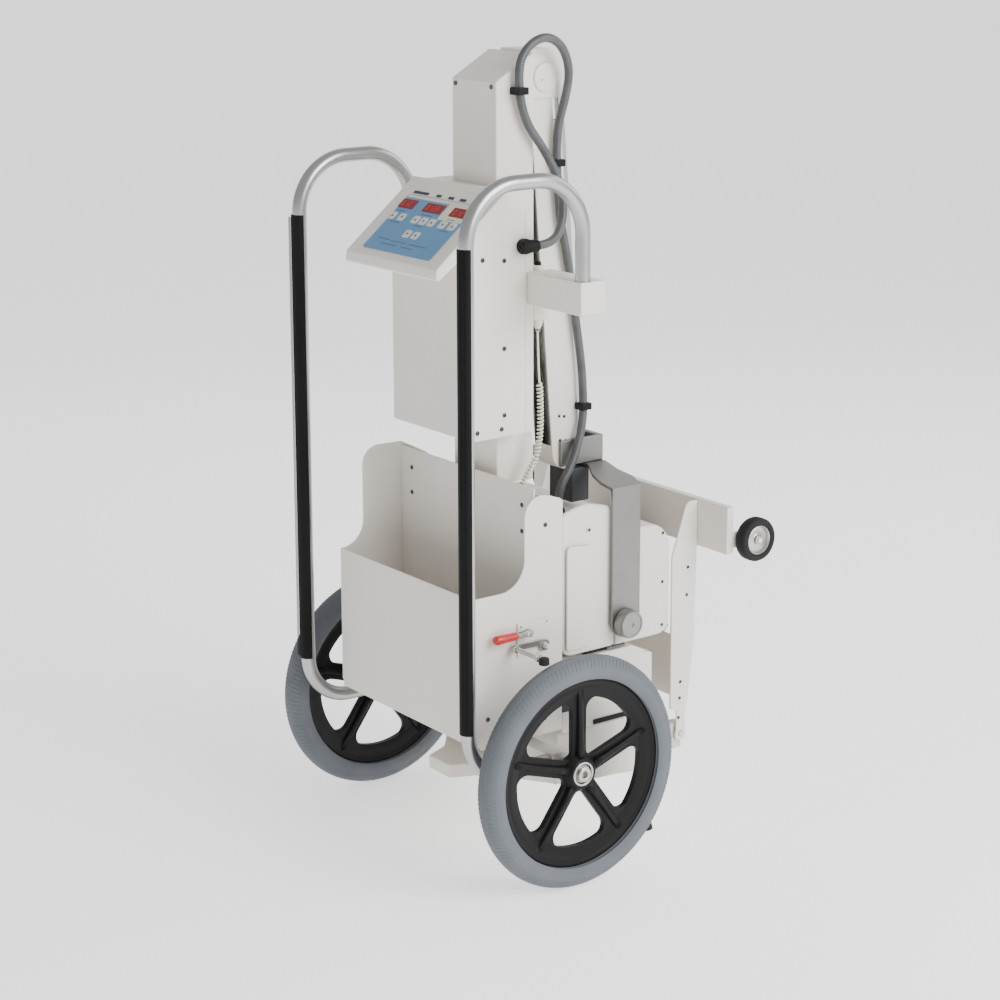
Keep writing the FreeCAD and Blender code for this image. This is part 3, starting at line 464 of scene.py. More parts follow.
def walk(line, travels):
    """The place and two untwisted cross directions at each distance along a line of points."""
    lengths = distances(line)
    side, index = None, 0
    for travel in travels:
        while index < len(line) - 2 and lengths[index + 1] < travel:
            index += 1
        span = lengths[index + 1] - lengths[index]
        here = line[index].lerp(line[index + 1], (travel - lengths[index]) / span if span else 0)
        ahead = (line[index + 1] - line[index]).normalized()
        if side is None:
            side = ahead.orthogonal().normalized()
        side = (side - ahead * side.dot(ahead)).normalized()
        yield here, side, ahead.cross(side)


def tube_mesh(name, line, radius, sides, ripple, pitch=0.004):
    """A mesh tube along a line of points, with shallow rings."""
    total = distances(line)[-1]
    count = int(total / (pitch / 4))
    travels = [total * k / count for k in range(count + 1)]
    bm = bmesh.new()
    rings = []
    for travel, (here, side, other) in zip(travels, walk(line, travels)):
        swell = radius - ripple * (0.5 - 0.5 * math.cos(math.tau * travel / pitch))
        ring = []
        for i in range(sides):
            angle = math.tau * i / sides
            ring.append(bm.verts.new(here + side * swell * math.cos(angle) + other * swell * math.sin(angle)))
        rings.append(ring)
    bm.faces.new(reversed(rings[0]))
    skin(bm, rings, ring=True)
    bm.faces.new(rings[-1])
    return object_from(bm, name)


# ---- camera, light and floor

CAMERA_ANGLES = (53.98, 12.48, -0.33)       # azimuth, elevation and roll in degrees
CAMERA_PLACE = (3161.3, -2308.8, 1655.6)
CAMERA_LENS = 84.68
CAMERA_SHIFT = (0.0345, -0.1059)


def add_camera():
    """Long-lens view from behind the unit's right side."""
    azimuth, elevation, roll = (math.radians(a) for a in CAMERA_ANGLES)
    right = Vector((math.cos(azimuth), math.sin(azimuth), 0))
    forward = Vector((-math.sin(azimuth) * math.cos(elevation), math.cos(azimuth) * math.cos(elevation),
            -math.sin(elevation)))
    up = right.cross(forward)
    right_rolled = right * math.cos(roll) + up * math.sin(roll)
    up_rolled = up * math.cos(roll) - right * math.sin(roll)
    data = bpy.data.cameras.new("photo_camera")
    data.lens = CAMERA_LENS
    data.sensor_width = 36.0
    data.shift_x, data.shift_y = CAMERA_SHIFT
    camera = added("photo_camera", data)
    camera.matrix_world = Matrix.Translation(at(*CAMERA_PLACE)) @ Matrix((right_rolled, up_rolled,
            -forward)).transposed().to_4x4()
    bpy.context.scene.camera = camera


FLOOR_HALF = 60
FLOOR_GLOW = 0.9                            # lifts the floor to the pale backdrop of a studio
WORLD_LIGHT = 0.68


def area_light(name, place, target, size, power):
    data = bpy.data.lights.new(name, "AREA")
    data.shape = "RECTANGLE"
    data.size, data.size_y = size
    data.energy = power
    light = added(name, data)
    light.location = place
    light.rotation_euler = (Vector(target) - Vector(place)).to_track_quat("-Z", "Y").to_euler()


def add_stage():
    """Pale floor, soft white surroundings and three area lights."""
    bm = bmesh.new()
    bmesh.ops.create_grid(bm, x_segments=1, y_segments=1, size=FLOOR_HALF)
    floor = object_from(bm, "floor")
    pale = surface("pale_floor", (0.94, 0.94, 0.94), 0.7, vary=0.005, patch=2, grain=60, grain_depth=0.0001)
    shader = pale.node_tree.nodes["Principled BSDF"]
    shader.inputs["Emission Color"].default_value = (1, 1, 1, 1)
    shader.inputs["Emission Strength"].default_value = FLOOR_GLOW
    floor.data.materials.append(pale)
    world = bpy.data.worlds.new("soft_white")
    world.use_nodes = True
    background = world.node_tree.nodes["Background"]
    background.inputs["Color"].default_value = (1, 1, 1, 1)
    background.inputs["Strength"].default_value = WORLD_LIGHT
    bpy.context.scene.world = world
    focus = (0, 0, 0.7)
    area_light("key", (3.6, 1.0, 2.6), focus, (2.6, 2.6), 215)
    area_light("fill", (-2.6, 1.6, 2.4), focus, (3.0, 2.4), 20)
    area_light("rim", (0.5, 3.4, 2.6), focus, (3.0, 2.0), 45)


# ---- the curly lead and the hose

COIL_ROUTE = [at(*p) for p in (
    (99, 68, 905), (98, 70, 852), (96, 76, 796), (95, 78, 740), (95, 72, 692), (94, 50, 658), (93, 26, 622),
    (92, 21, 570), (92, 23, 516), (92, 24, 466))]
COIL_OUTSIDE = 0.006
COIL_WIRE = 0.0018
COIL_PITCH = 0.0064
COIL_STEPS = 12                           # points in a turn
COIL_EASE = 8                             # steps over which the first and last turns open and close
COIL_START = 0.088                        # straight before the first turn
COIL_END = 0.040                          # straight after the last turn
COIL_GAP = 0.006                          # between a straight's last point and the coil


def curly_lead():
    """Helix wound round the route's centreline, with short straight tails."""
    line = centreline(COIL_ROUTE, 16)
    lengths = distances(line)
    total = lengths[-1]
    coiled = total - COIL_START - COIL_END
    wind = COIL_OUTSIDE - COIL_WIRE
    posts = list(zip(line[::8], lengths[::8]))
    points = [p.copy() for p, travel in posts if travel < COIL_START - COIL_GAP]
    count = int(coiled / COIL_PITCH) * COIL_STEPS
    places = walk(line, [COIL_START + coiled * k / count for k in range(count + 1)])
    for k, (here, side, other) in enumerate(places):
        angle = math.tau * k / COIL_STEPS
        ease = min(1.0, k / COIL_EASE, (count - k) / COIL_EASE)
        points.append(here + (side * math.cos(angle) + other * math.sin(angle)) * wind * ease)
    points += [p.copy() for p, travel in posts if travel > total - COIL_END + COIL_GAP]
    points.append(line[-1].copy())
    lead = smooth_curve("curly_lead", points, COIL_WIRE, resolution=2, bevel=2)
    finish_piece(lead, "chassis", CREAM_PLASTIC, "cream_plastic", ("coil_lead",))
    length = distances(centreline(points, 2))[-1]
    tuple(COIL_ROUTE[0])


HOSE_RADIUS = 0.008
HOSE_FIT = 0.0004                         # keeps the sleeve inside the CAD tube
HOSE_RIPPLE = 0.0005
HOSE_SPANS = {
    "hose_lower": ((126, 46, 1056), (126, 70, 1056), (119, 98, 1070), (106, 118, 1104), (90, 124, 1148),
                   (78, 100, 1204), (75, 54, 1262), (75, 49, 1306)),
    "hose_loop": ((75, 49, 1306), (75, 44.455, 1346), (73, 68, 1380), (70, 108, 1394), (63, 148, 1376),
                  (56, 170, 1332), (46, 167, 1282), (36, 156, 1228), (36, 158, 1176)),
    "hose_arm": ((36, 158, 1176), (36, 161.077, 1096), (36, 184, 1000), (36, 202, 890), (36, 217, 800),
                 (36, 218, 745)),
    "hose_drop": ((36, 218, 745), (36, 218.491, 718), (48, 188, 652), (52, 150, 608), (52, 150, 574)),
}


def hose_spans():
    """Grey sleeve: fixed on the column and the arm; the loop over the shoulder and the drop to the head are
    baked in place on no body.
    """
    for name, route in HOSE_SPANS.items():
        points = [at(*p) for p in route]
        hose = tube_mesh(name + "_sleeve", centreline(points, 24), HOSE_RADIUS - HOSE_FIT, 20, HOSE_RIPPLE)
        hose.data.materials.append(HOSE)
        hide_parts(name)
        if name == "hose_loop":
            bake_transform(hose)
        elif name == "hose_drop":
            tuple(points[1])
            tuple(points[-1])
            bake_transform(hose)
        else:
            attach(hose, "chassis" if name == "hose_lower" else "arm")


# ---- main wheels

WHEEL_RADIUS = (corners("wheel_tyre_right")[1].z - corners("wheel_tyre_right")[0].z) / 2
TRACK = middle("wheel_tyre_right").x
TYRE_HALF = 0.0235                          # half the height of the tyre's section
TREAD_BLOCKS = 150                          # round each shoulder


def tyre_profile():
    """Round section with a bead, a side line and fine ribs round the crown."""
    centre, section = WHEEL_RADIUS - TYRE_HALF, 0.0228
    profile = [(-0.0060, 0.1600), (-0.0112, 0.1626), (-0.0135, 0.1636)]
    steps = 48
    for i in range(steps + 1):
        angle = math.radians(-128 + 256 * i / steps)
        reach = section
        lean = abs(math.degrees(angle))
        if lean < 22:
            reach += 0.0005 if int(lean / 5.4) % 2 == 0 else -0.0003
        if 76 < lean < 84:
            reach -= 0.0005
        profile.append((reach * math.sin(angle), centre + reach * math.cos(angle)))
    profile += [(0.0135, 0.1636), (0.0112, 0.1626), (0.0060, 0.1600)]
    return profile


SPOKE_ANGLES = [math.radians(90 + 72 * k) for k in range(5)]
HALF_SPOKE_ANGLE = math.radians(36)
SPOKE_HALF = 0.0150
WINDOW_OUTER = 0.1290


def spoke_window(middle_angle):
    """The rounded triangle between two spokes: two edges along the spokes, an arc under the rim."""
    vertex = SPOKE_HALF / math.sin(HALF_SPOKE_ANGLE)
    spread_angle = HALF_SPOKE_ANGLE - math.asin(SPOKE_HALF / WINDOW_OUTER)
    shape = [(vertex, 0.0, 0.012)]
    corner = WINDOW_OUTER + 0.001
    shape.append((corner * math.cos(-spread_angle), corner * math.sin(-spread_angle), 0.019))
    for k in (-1, 0, 1):
        angle = spread_angle * 0.42 * k
        shape.append((WINDOW_OUTER * 1.02 * math.cos(angle), WINDOW_OUTER * 1.02 * math.sin(angle), 0))
    shape.append((corner * math.cos(spread_angle), corner * math.sin(spread_angle), 0.019))
    turn = Matrix.Rotation(middle_angle, 2)
    return [turn @ point for point in rounded_outline(shape)]


def spoke_rib(name, centre, sign, angle):
    """Raised rib down the middle of a spoke: highest at the hub, sinking into the rim."""
    along = Vector((0, math.cos(angle) * sign, math.sin(angle)))
    across_spoke = Vector((0, -math.sin(angle) * sign, math.cos(angle)))
    bm = bmesh.new()
    rows = []
    for reach, height, half in ((0.024, 0.0150, 0.0085), (0.050, 0.0135, 0.0055), (0.090, 0.0115, 0.0045),
            (0.125, 0.0105, 0.0048), (0.150, 0.0092, 0.0075)):
        row = []
        for side, lift in ((-1, 0.0), (-1, 0.80), (-0.55, 1.0), (0.55, 1.0), (1, 0.80), (1, 0.0)):
            out = 0.003 + (height - 0.003) * lift
            row.append(bm.verts.new(centre + along * reach + across_spoke * half * side
                    + Vector((sign * out, 0, 0))))
        rows.append(row)
    skin(bm, rows)
    bm.faces.new(rows[0])
    bm.faces.new(rows[-1])
    bmesh.ops.recalc_face_normals(bm, faces=bm.faces)
    return object_from(bm, name)


def main_wheel(side, sign):
    """Grey tyre on a black moulded rim with five ribbed spokes, and its bearing ring."""
    body = "wheel_" + side
    centre = Vector((sign * TRACK, AXLE.y, WHEEL_RADIUS))
    tyre = lathe(f"tyre_{side}", tyre_profile(), centre, (1, 0, 0), steps=144, closed=True)
    finish_piece(tyre, body, TYRE, "grey_tyre", (f"wheel_tyre_{side}",))
    tread_blocks(side, centre, body)
    rim = turned(f"rim_barrel_{side}", ((-11, 161.5), (-10, 163), (-7, 163.2), (7, 163.2), (10, 163),
            (11.6, 161.5), (12, 158), (11.2, 154.5), (9.6, 152.5), (9.2, 149.5), (9.6, 146.5), (9, 142),
            (7.4, 138.5), (6.2, 131.5), (5, 129.2), (-5, 129.2), (-6.2, 131.5), (-7.4, 138.5), (-9, 146.5),
            (-9.2, 152.5), (-11, 155), (-12, 158)), centre, (sign, 0, 0), steps=144, closed=True, split=50)
    web = slab(f"rim_web_{side}", [circle(0.136, steps=96), circle(0.0128)]
            + [spoke_window(a + HALF_SPOKE_ANGLE) for a in SPOKE_ANGLES],
            frame_at(centre, (0, sign, 0), (0, 0, 1)), 0.011, 0.002)
    ribs = [spoke_rib(f"rim_rib_{side}_{k}", centre, sign, angle) for k, angle in enumerate(SPOKE_ANGLES)]
    inner = [spoke_rib(f"rim_back_rib_{side}_{k}", centre, -sign, math.pi - angle)
            for k, angle in enumerate(SPOKE_ANGLES)]
    hub = turned(f"rim_hub_{side}", ((-18, 12.9), (-18, 24), (-17, 26), (-6, 31), (5, 34), (9, 32),
            (13.5, 27.5), (16.5, 25.5), (17.5, 24), (17.5, 21.6), (14.5, 21.2), (14.5, 12.9)), centre,
            (sign, 0, 0), closed=True)
    finish_joined(f"wheel_rim_moulding_{side}", [rim, web, hub] + ribs + inner, body, BLACK,
            "black_plastic", (f"wheel_rim_{side}",))
    ring = turned(f"bearing_ring_{side}", ((12, 20.9), (16.9, 20.9), (17.6, 20.2), (17.6, 17.6),
            (16.9, 16.9), (13.5, 16.9), (13.5, 14.8), (15.4, 14.6), (15.4, 13.2), (12, 13.1)), centre,
            (sign, 0, 0), closed=True)
    finish_piece(ring, body, ZINC, "black_plastic")


def tread_blocks(side, centre, body):
    """Short cross bars moulded along both shoulders of the tyre."""
    bm = bmesh.new()
    section = WHEEL_RADIUS - TYRE_HALF
    for k in range(TREAD_BLOCKS):
        for flank in (-1, 1):
            turn = math.tau * (k + (0.5 if flank > 0 else 0)) / TREAD_BLOCKS
            spoke = Vector((0, math.cos(turn), math.sin(turn)))
            round_way = Vector((0, -math.sin(turn), math.cos(turn)))
            rows = []
            for lean in (27, 36, 45, 54, 63, 71):
                angle = math.radians(lean) * flank
                slip = round_way * 0.0024 * (lean - 49) / 22
                row = []
                for along, reach in ((-0.0021, 0.0220), (-0.0015, 0.02335), (0.0015, 0.02335),
                        (0.0021, 0.0220)):
                    row.append(bm.verts.new(centre + spoke * (section + reach * math.cos(angle))
                            + Vector((reach * math.sin(angle), 0, 0)) + slip + round_way * along))
                rows.append(row)
            skin(bm, rows)
            for row in (rows[0], rows[-1]):
                bm.faces.new(row)
    bmesh.ops.recalc_face_normals(bm, faces=bm.faces)
    finish_piece(object_from(bm, f"tyre_tread_{side}", smooth=False), body, TYRE, "grey_tyre")


def axle_ends():
    """Axle with a chamfered, hollow end at each hub."""
    low, high = corners("axle")
    radius, end = (high.z - low.z) / 2, high.x
    rim = [(end - 0.0090, 0.0), (end - 0.009, 0.0052), (end - 0.0008, 0.0060), (end, 0.0068),
            (end, radius - 0.0014), (end - 0.0012, radius)]
    profile = [(-along, r) for along, r in rim] + rim[::-1]
    bar = lathe("axle_bar", profile, Vector((0, AXLE.y, AXLE.z)), (1, 0, 0), steps=48)
    finish_piece(bar, "chassis", ZINC, "bright_steel", ("axle",))


# ---- plain sheet and tube parts

def painted(edge):
    """The common case of a cream part with edges rounded by so many millimetres."""
    return edge, PAINT, "cream_paint"


def black(edge):
    return edge, BLACK, "black_plastic"


# node: (edge radius in mm, finish, record slot)
ROUNDED = {
    "base_tub": painted(2.5),
    "tread_plate": painted(3.0),
    "base_cabinet": painted(3.0),
    # painted shade: the darker cream copy
    "axle_beam": (2.0, CREAM_SHADE_AND_SEAM, "cream_paint"),
    "bin_side_right": painted(0.9),
    "bin_side_left": painted(0.9),
    "bin_rear_panel": painted(0.9),
    "bin_tray": painted(0.9),
    "bin_front_panel": painted(0.8),
    # painted shade: the darker cream copy
    "mast_post": (1.5, CREAM_SHADE_AND_SEAM, "cream_paint"),
    "column": painted(3.0),
    "electronics_housing": painted(3.0),
    "control_desk": painted(3.0),
    "handle_brackets": painted(2.6),
    "shoulder_housing": painted(1.6),
    "arm_beam": painted(1.6),
    "head_cover_rear": painted(5.0),
    "head_cover_front": painted(5.0),
    "front_frame": painted(1.2),
    "cross_board": painted(2.5),
    "fork_bar": (1.6, STRAP_STEEL, "bright_steel"),
    "parallel_bar": (1.5, TUBE_STEEL, "bright_steel"),
    # painted shade: the darker cream copy
    "hinge_pins": (1.5, CREAM_SHADE_AND_SEAM, "bright_steel"),
    "brake_bases": (0.8, PAINT, "bright_steel"),
    # arm_liner: black sheet in the arm's open rear channel, standing in for the shade in the gap behind the
    # arm
    "arm_liner": black(0.8),
    "arm_clips": black(1.5),
    "hose_fittings": black(1.2),
    "switch_holster": (2.5, CREAM_PLASTIC, "cream_plastic"),
    "beam_limiter": black(5.0),
    "battery_pack": black(3.0),
    "high_voltage_block": black(3.0),
    "grip_strips": (0.7, STRIP, "black_plastic"),
}


def rounded_parts():
    for node, (width, material, slot) in ROUNDED.items():
        rounded_copy(node, width * MM, material, slot)


def fork_hub():
    """Steel clevis; the faces of its neck below the fork bar are dark."""
    hub = rounded_copy("fork_hub", 0.0028, STRAP_STEEL, "dark_steel")
    hub.data.materials.append(DARK_STEEL)
    neck_top = corners("fork_bar")[1].z
    for face in hub.data.polygons:
        if face.center.z < neck_top:
            face.material_index = 1


def recoat():
    """CAD nodes whose shape is already right only change their finish."""
    for node, material in (("handle_tubes", TUBE_STEEL), ("tube_insert", DARK_STEEL), ("hose_boot", RUBBER),
            ("foot_pads", RUBBER)):
        data = NODES[node].data
        data.materials.clear()
        data.materials.append(material)


# ---- screws

def solids_of(node):
    """Low and high corner of each separate solid in a CAD node."""
    bm = bmesh.new()
    bm.from_mesh(NODES[node].data)
    bmesh.ops.remove_doubles(bm, verts=bm.verts, dist=1e-6)
    left = set(bm.verts)
    found = []
    while left:
        seed = left.pop()
        island, edge = [seed], [seed]
        while edge:
            vert = edge.pop()
            for link in vert.link_edges:
                other = link.other_vert(vert)
                if other in left:
                    left.discard(other)
                    island.append(other)
                    edge.append(other)
        low = Vector(min(v.co[i] for v in island) for i in range(3))
        high = Vector(max(v.co[i] for v in island) for i in range(3))
        found.append((low, high))
    bm.free()
    return sorted(found, key=lambda pair: tuple(pair[0]))


def screw_head(place, out, radius, height, turn):
    """Domed head with a cross laid in its top where the recess is; place is the seat's centre and out its
    outward direction.
    """
    out = Vector(out).normalized()
    head = lathe("head", [(a * height, r * radius) for a, r in ((0, 1.0), (0.25, 1.0), (0.62, 0.90),
            (0.88, 0.70), (1.0, 0.48))], Vector(place), out, steps=20)
    side = out.orthogonal().normalized()
    other = out.cross(side)
    way = side * math.cos(turn) + other * math.sin(turn)
    cross = []
    for a, b in ((way, out.cross(way)), (out.cross(way), -way)):
        cross.append(slab("cross", [rounded_outline(rectangle(0.62 * radius, 0.11 * radius))],
                frame_at(Vector(place) + out * height * 0.86, a, b), height * 0.34))
    return head, cross


def screws(name, places, radius, height, body, material, slot, replaces=()):
    """A set of cross-recess screws: heads, and black crosses in place of their recesses, painted shade."""
    heads, marks = [], []
    for k, (place, out) in enumerate(places):
        head, cross = screw_head(place, out, radius, height, 0.35 + 1.1 * k)
        heads.append(head)
        marks += cross
    finish_joined(name, heads, body, material, slot, replaces)
    finish_joined(name + "_recess_painted_shade", marks, body, BLACK, slot)


def cover_screw_heads():
    """A screw on every screw solid of the CAD model, facing out of the nearest side."""
    places = []
    for low, high in solids_of("cover_screws"):
        size, centre = high - low, (low + high) / 2
        thin = min(range(3), key=lambda i: size[i])
        out = Vector((0, 0, 0))
        out[thin] = 1 if centre[thin] > (0 if thin == 0 else AXLE.y) else -1
        seat = centre - out * size[thin] / 2
        places.append((seat, out))
    screws("cover_screw_heads", places, 0.0042, 0.0018, "chassis", SCREW_STEEL, "dark_steel",
            ("cover_screws",))


# ---- control desk

DESK_SLOPE = math.radians(39.5)
DESK_UP = Vector((0, math.cos(DESK_SLOPE), math.sin(DESK_SLOPE)))
DESK_OUT = Vector((0, -math.sin(DESK_SLOPE), math.cos(DESK_SLOPE)))


def on_desk(x, up, lift):
    """A place on the sloping desk: across, up the slope and above the surface, in millimetres."""
    return at(x, -162, 1037) + DESK_UP * up * MM + DESK_OUT * lift * MM


def desk_tile(name, x, up, lift, thick, corner=2.0, edge=0.15):
    """A flat tile on the desk between x and up spans, in millimetres."""
    half_x, half_up = (x[1] - x[0]) / 2, (up[1] - up[0]) / 2
    place = frame_at(on_desk(sum(x) / 2, sum(up) / 2, lift + thick / 2), (1, 0, 0), DESK_UP)
    return slab(name, [outline_mm(rectangle(half_x, half_up, corner))], place, thick * MM, edge * MM)


# millimetres across and up the desk
DISPLAYS = ((-98, -55), (-28, 24), (48, 91))
KEYS = ((-90, 89), (-63, 89), (-23, 89), (0, 89), (23, 89), (54, 89), (81, 89), (-12, 57), (12, 57))
FIGURES = ((1, 1, 1, 1, 1, 1, 0), (0, 1, 1, 0, 0, 0, 0), (1, 1, 0, 1, 1, 0, 1), (1, 1, 1, 1, 1, 1, 1))
FIGURE_PITCH = 9.5


def digits(x, up, count):
    """Seven-segment figures as thin bars."""
    bars = []
    for k in range(count):
        left = x + k * FIGURE_PITCH
        spots = ((left, up + 10, 1), (left + 5, up + 5, 0), (left + 5, up, 0), (left, up, 1), (left, up, 0),
                (left, up + 5, 0), (left, up + 5, 1))
        for lit, (a, b, flat) in zip(FIGURES[k], spots):
            if lit:
                span_x = (a + 0.5, a + 5) if flat else (a, a + 0.9)
                span_up = (b, b + 0.9) if flat else (b + 0.6, b + 4.8)
                bars.append(desk_tile("bar", span_x, span_up, 1.9, 0.15, 0.3, 0.0))
    return bars


def key_mark(x, up, way):
    """A small arrow printed on a key."""
    points = [(0, 3.2 * way), (-3.4, -2.2 * way), (3.4, -2.2 * way)]
    shape = [Vector((a * MM, b * MM)) for a, b in points]
    return slab("arrow", [shape], frame_at(on_desk(x, up, 1.9), (1, 0, 0), DESK_UP), 0.00015)


def control_overlay():
    """Blue film with a beige head strip, three red displays, four key groups and plain marks."""
    finish_piece(desk_tile("overlay_film", (-97, 97), (14, 141), 0.0, 1.2, 5.0), "chassis", BLUE,
            "blue_film", ("panel_membrane",))
    beige = [desk_tile("strip", (-95, 95), (133, 139.5), 1.2, 0.12, 1.5, 0),
            desk_tile("strip", (28, 94), (98, 134), 1.2, 0.10, 2.5, 0)]
    finish_joined("overlay_beige", beige, "chassis", BEIGE_PRINT, "blue_film")
    windows = [desk_tile("window", span, (108.5, 128.5), 1.2, 0.6, 1.5) for span in DISPLAYS]
    finish_joined("display_windows", windows, "chassis", DISPLAY, "blue_film")
    figures = digits(-92, 113, 3) + digits(-22, 113, 4) + digits(56, 113, 3)
    finish_joined("display_figures", figures, "chassis", SEGMENT, "blue_film")
    keys, frames, arrows = [], [], []
    for spot, up in KEYS:
        keys.append(desk_tile("key", (spot - 8, spot + 8), (up - 7, up + 7), 1.3, 0.5, 3.0))
        frames.append(desk_tile("frame", (spot - 9.2, spot + 9.2), (up - 8.2, up + 8.2), 1.2, 0.2, 3.6, 0))
        arrows.append(key_mark(spot, up, 1 if len(keys) % 2 else -1))
    finish_joined("key_pads", keys, "chassis", BEIGE_PRINT, "blue_film")
    finish_joined("key_frames", frames, "chassis", PALE_PRINT, "blue_film")
    marks = []
    for left, up, width in ((-92, 101, 24), (-20, 101, 30), (54, 101, 20), (-86, 76, 30), (-16, 76, 26),
            (58, 76, 24), (-78, 38, 34), (-38, 36.5, 44), (14, 36, 50), (-60, 28, 46), (0, 27.5, 34)):
        marks.append(desk_tile("mark", (left, left + width), (up, up + 1.5), 1.2, 0.12, 0.5, 0))
    finish_joined("overlay_marks", marks + arrows, "chassis", NAVY_PRINT, "blue_film")
    top = [desk_tile("top_mark", (left, left + width), (144, 150), 0.0, 0.4, 1.0, 0.1)
            for left, width in ((-92, 44), (-26, 14), (8, 16), (40, 18))]
    finish_joined("desk_marks", top, "chassis", DARK_STEEL, "blue_film")


# ---- handles and hand switch

def grip_ribs():
    """Fine ribs down the vinyl strips on the handles."""
    low, high = corners("grip_strips")
    section = ((-0.0006, 0.0004), (-0.0003, -0.0002), (0.0003, -0.0002), (0.0006, 0.0004))
    for side, sign in (("right", 1), ("left", -1)):
        bm = bmesh.new()
        inner = (high.x if sign > 0 else low.x) - sign * 0.015
        for k in range(5):
            x = inner + sign * (0.0020 + 0.0026 * k)
            skin(bm, [[bm.verts.new((x + dx, low.y + dy, z)) for dx, dy in section]
                    for z in (low.z + 0.004, high.z - 0.004)])
        bmesh.ops.recalc_face_normals(bm, faces=bm.faces)
        finish_piece(object_from(bm, f"grip_ribs_{side}", smooth=False), "chassis", STRIP, "black_plastic")


def hand_switch():
    """Tapered hand switch with a collar, a strain relief and a button guard."""
    low, high = corners("hand_switch")
    centre = middle("hand_switch")
    radius = (high.x - low.x) / 2
    profile = [(0, 3.4), (1, 4.2), (8, 5.2), (9, 6.8), (14, 7.6), (15, 9.0), (30, 10.2), (58, 11.2),
            (80, 12.2), (92, radius / MM), (101, radius / MM), (103, 12.2), (104.5, 11.0), (105, 10.6),
            (109, 10.4), (111.6, 9.6), (112.6, 8.2), (113, 7.0)]
    body = lathe("switch_body", [(z * MM + low.z, r * MM) for z, r in profile],
            Vector((centre.x, centre.y, 0)), (0, 0, 1), steps=48)
    finish_piece(body, "chassis", CREAM_PLASTIC, "cream_plastic", ("hand_switch",))
    rings = []
    for start, thick, reach in ((1.6, 1.1, 4.9), (3.6, 1.1, 4.9), (5.6, 1.1, 4.9), (58.8, 1.0, 11.35)):
        rings.append(turned("ring", ((start, 0), (start, reach), (start + thick, reach),
                (start + thick, 0)), Vector((centre.x, centre.y, low.z)), (0, 0, 1), 24 if reach < 5
                else 48))
    finish_joined("switch_rings", rings, "chassis", BLACK, "cream_plastic")
    button_low, spot = corners("exposure_button")[0], middle("exposure_button")
    cap = lathe("button_cap", [(a * MM + button_low.z, r * MM)
            for a, r in ((0, 5.9), (9.5, 5.9), (11.4, 5.5), (12.6, 4.4), (12.9, 2.8), (12.5, 1.4),
            (12.3, 0.4))], Vector((spot.x, spot.y, 0)), (0, 0, 1), steps=40)
    finish_piece(cap, "button", BLACK, "cream_plastic", ("exposure_button",))


# ---- shoulder, arm and hose hardware

def shoulder_cover():
    """Round cover discs on both ends of the shoulder pin, each with a small off-centre screw."""
    low, high = corners("shoulder_pin")
    centre = middle("shoulder_pin")
    radius = (high.z - low.z) / 2 / MM
    half = high.x / MM
    face = [(half - 4.0, radius), (half - 1.1, radius), (half - 0.2, radius - 0.9), (half, radius - 1.8),
            (half, radius - 3.4), (half - 0.9, radius - 4.2), (half - 0.9, radius - 8.5),
            (half - 0.5, radius - 9.2), (half - 0.5, 3.0), (half - 0.8, 0.2)]
    profile = [(-along, r) for along, r in face[::-1]] + face
    disc = turned("shoulder_discs", profile, centre, (1, 0, 0), steps=72)
    finish_piece(disc, "chassis", PAINT, "cream_paint", ("shoulder_pin",))
    places = [(Vector((k * (half - 0.9) * MM, centre.y - 0.010, centre.z - 0.004)), (k, 0, 0))
            for k in (-1, 1)]
    screws("shoulder_disc_screws", places, 0.0022, 0.0008, "chassis", ZINC, "bright_steel")


HOSE_TIES = ((75, 49, 1306, "chassis"), (36, 158, 1176, "arm"), (36, 218, 745, "arm"))


def hose_ties():
    """Steel band and rubber lining where the hose is held."""
    for k, (x, y, z, body) in enumerate(HOSE_TIES):
        spot = at(x, y, z)
        lean = (0, 0.02, 1) if body == "chassis" else (0, 0.22 if k == 1 else 0.08, -1)
        band = turned(f"hose_band_{k}", ((-3.2, 8.1), (-3.2, 9.2), (-2.6, 9.7), (2.6, 9.7), (3.2, 9.2),
                (3.2, 8.1)), spot, lean, 40, closed=True)
        finish_piece(band, body, ZINC, "bright_steel")
        liner = turned(f"hose_band_lining_{k}", ((-4.6, 7.9), (-4.6, 8.9), (4.6, 8.9), (4.6, 7.9)), spot,
                lean, 40, closed=True)
        finish_piece(liner, body, RUBBER, "black_rubber")


def gland():
    """Ridged gland nut where the hose enters the housing."""
    rings = []
    for start, radius in ((13, 11.6), (18, 11.4), (23, 11.2), (28, 11.0), (33, 10.8), (38, 10.7)):
        rings.append(turned("ring", ((0, 9.0), (0, radius - 0.6), (0.8, radius), (2.4, radius),
                (3.2, radius - 0.6), (3.2, 9.0)), at(126, start, 1056), (0, 1, 0), 36, closed=True))
    finish_joined("gland_ribs", rings, "chassis", RUBBER, "black_plastic")


def arm_trim():
    """Side screws low on the arm."""
    places = [(at(sign * 25, y, z), (sign, 0, 0)) for y, z in ((173, 731), (184, 729), (175, 687),
            (188, 685)) for sign in (-1, 1)]
    screws("arm_screws", places, 0.0030, 0.0014, "arm", SCREW_STEEL, "dark_steel")


# ---- brakes

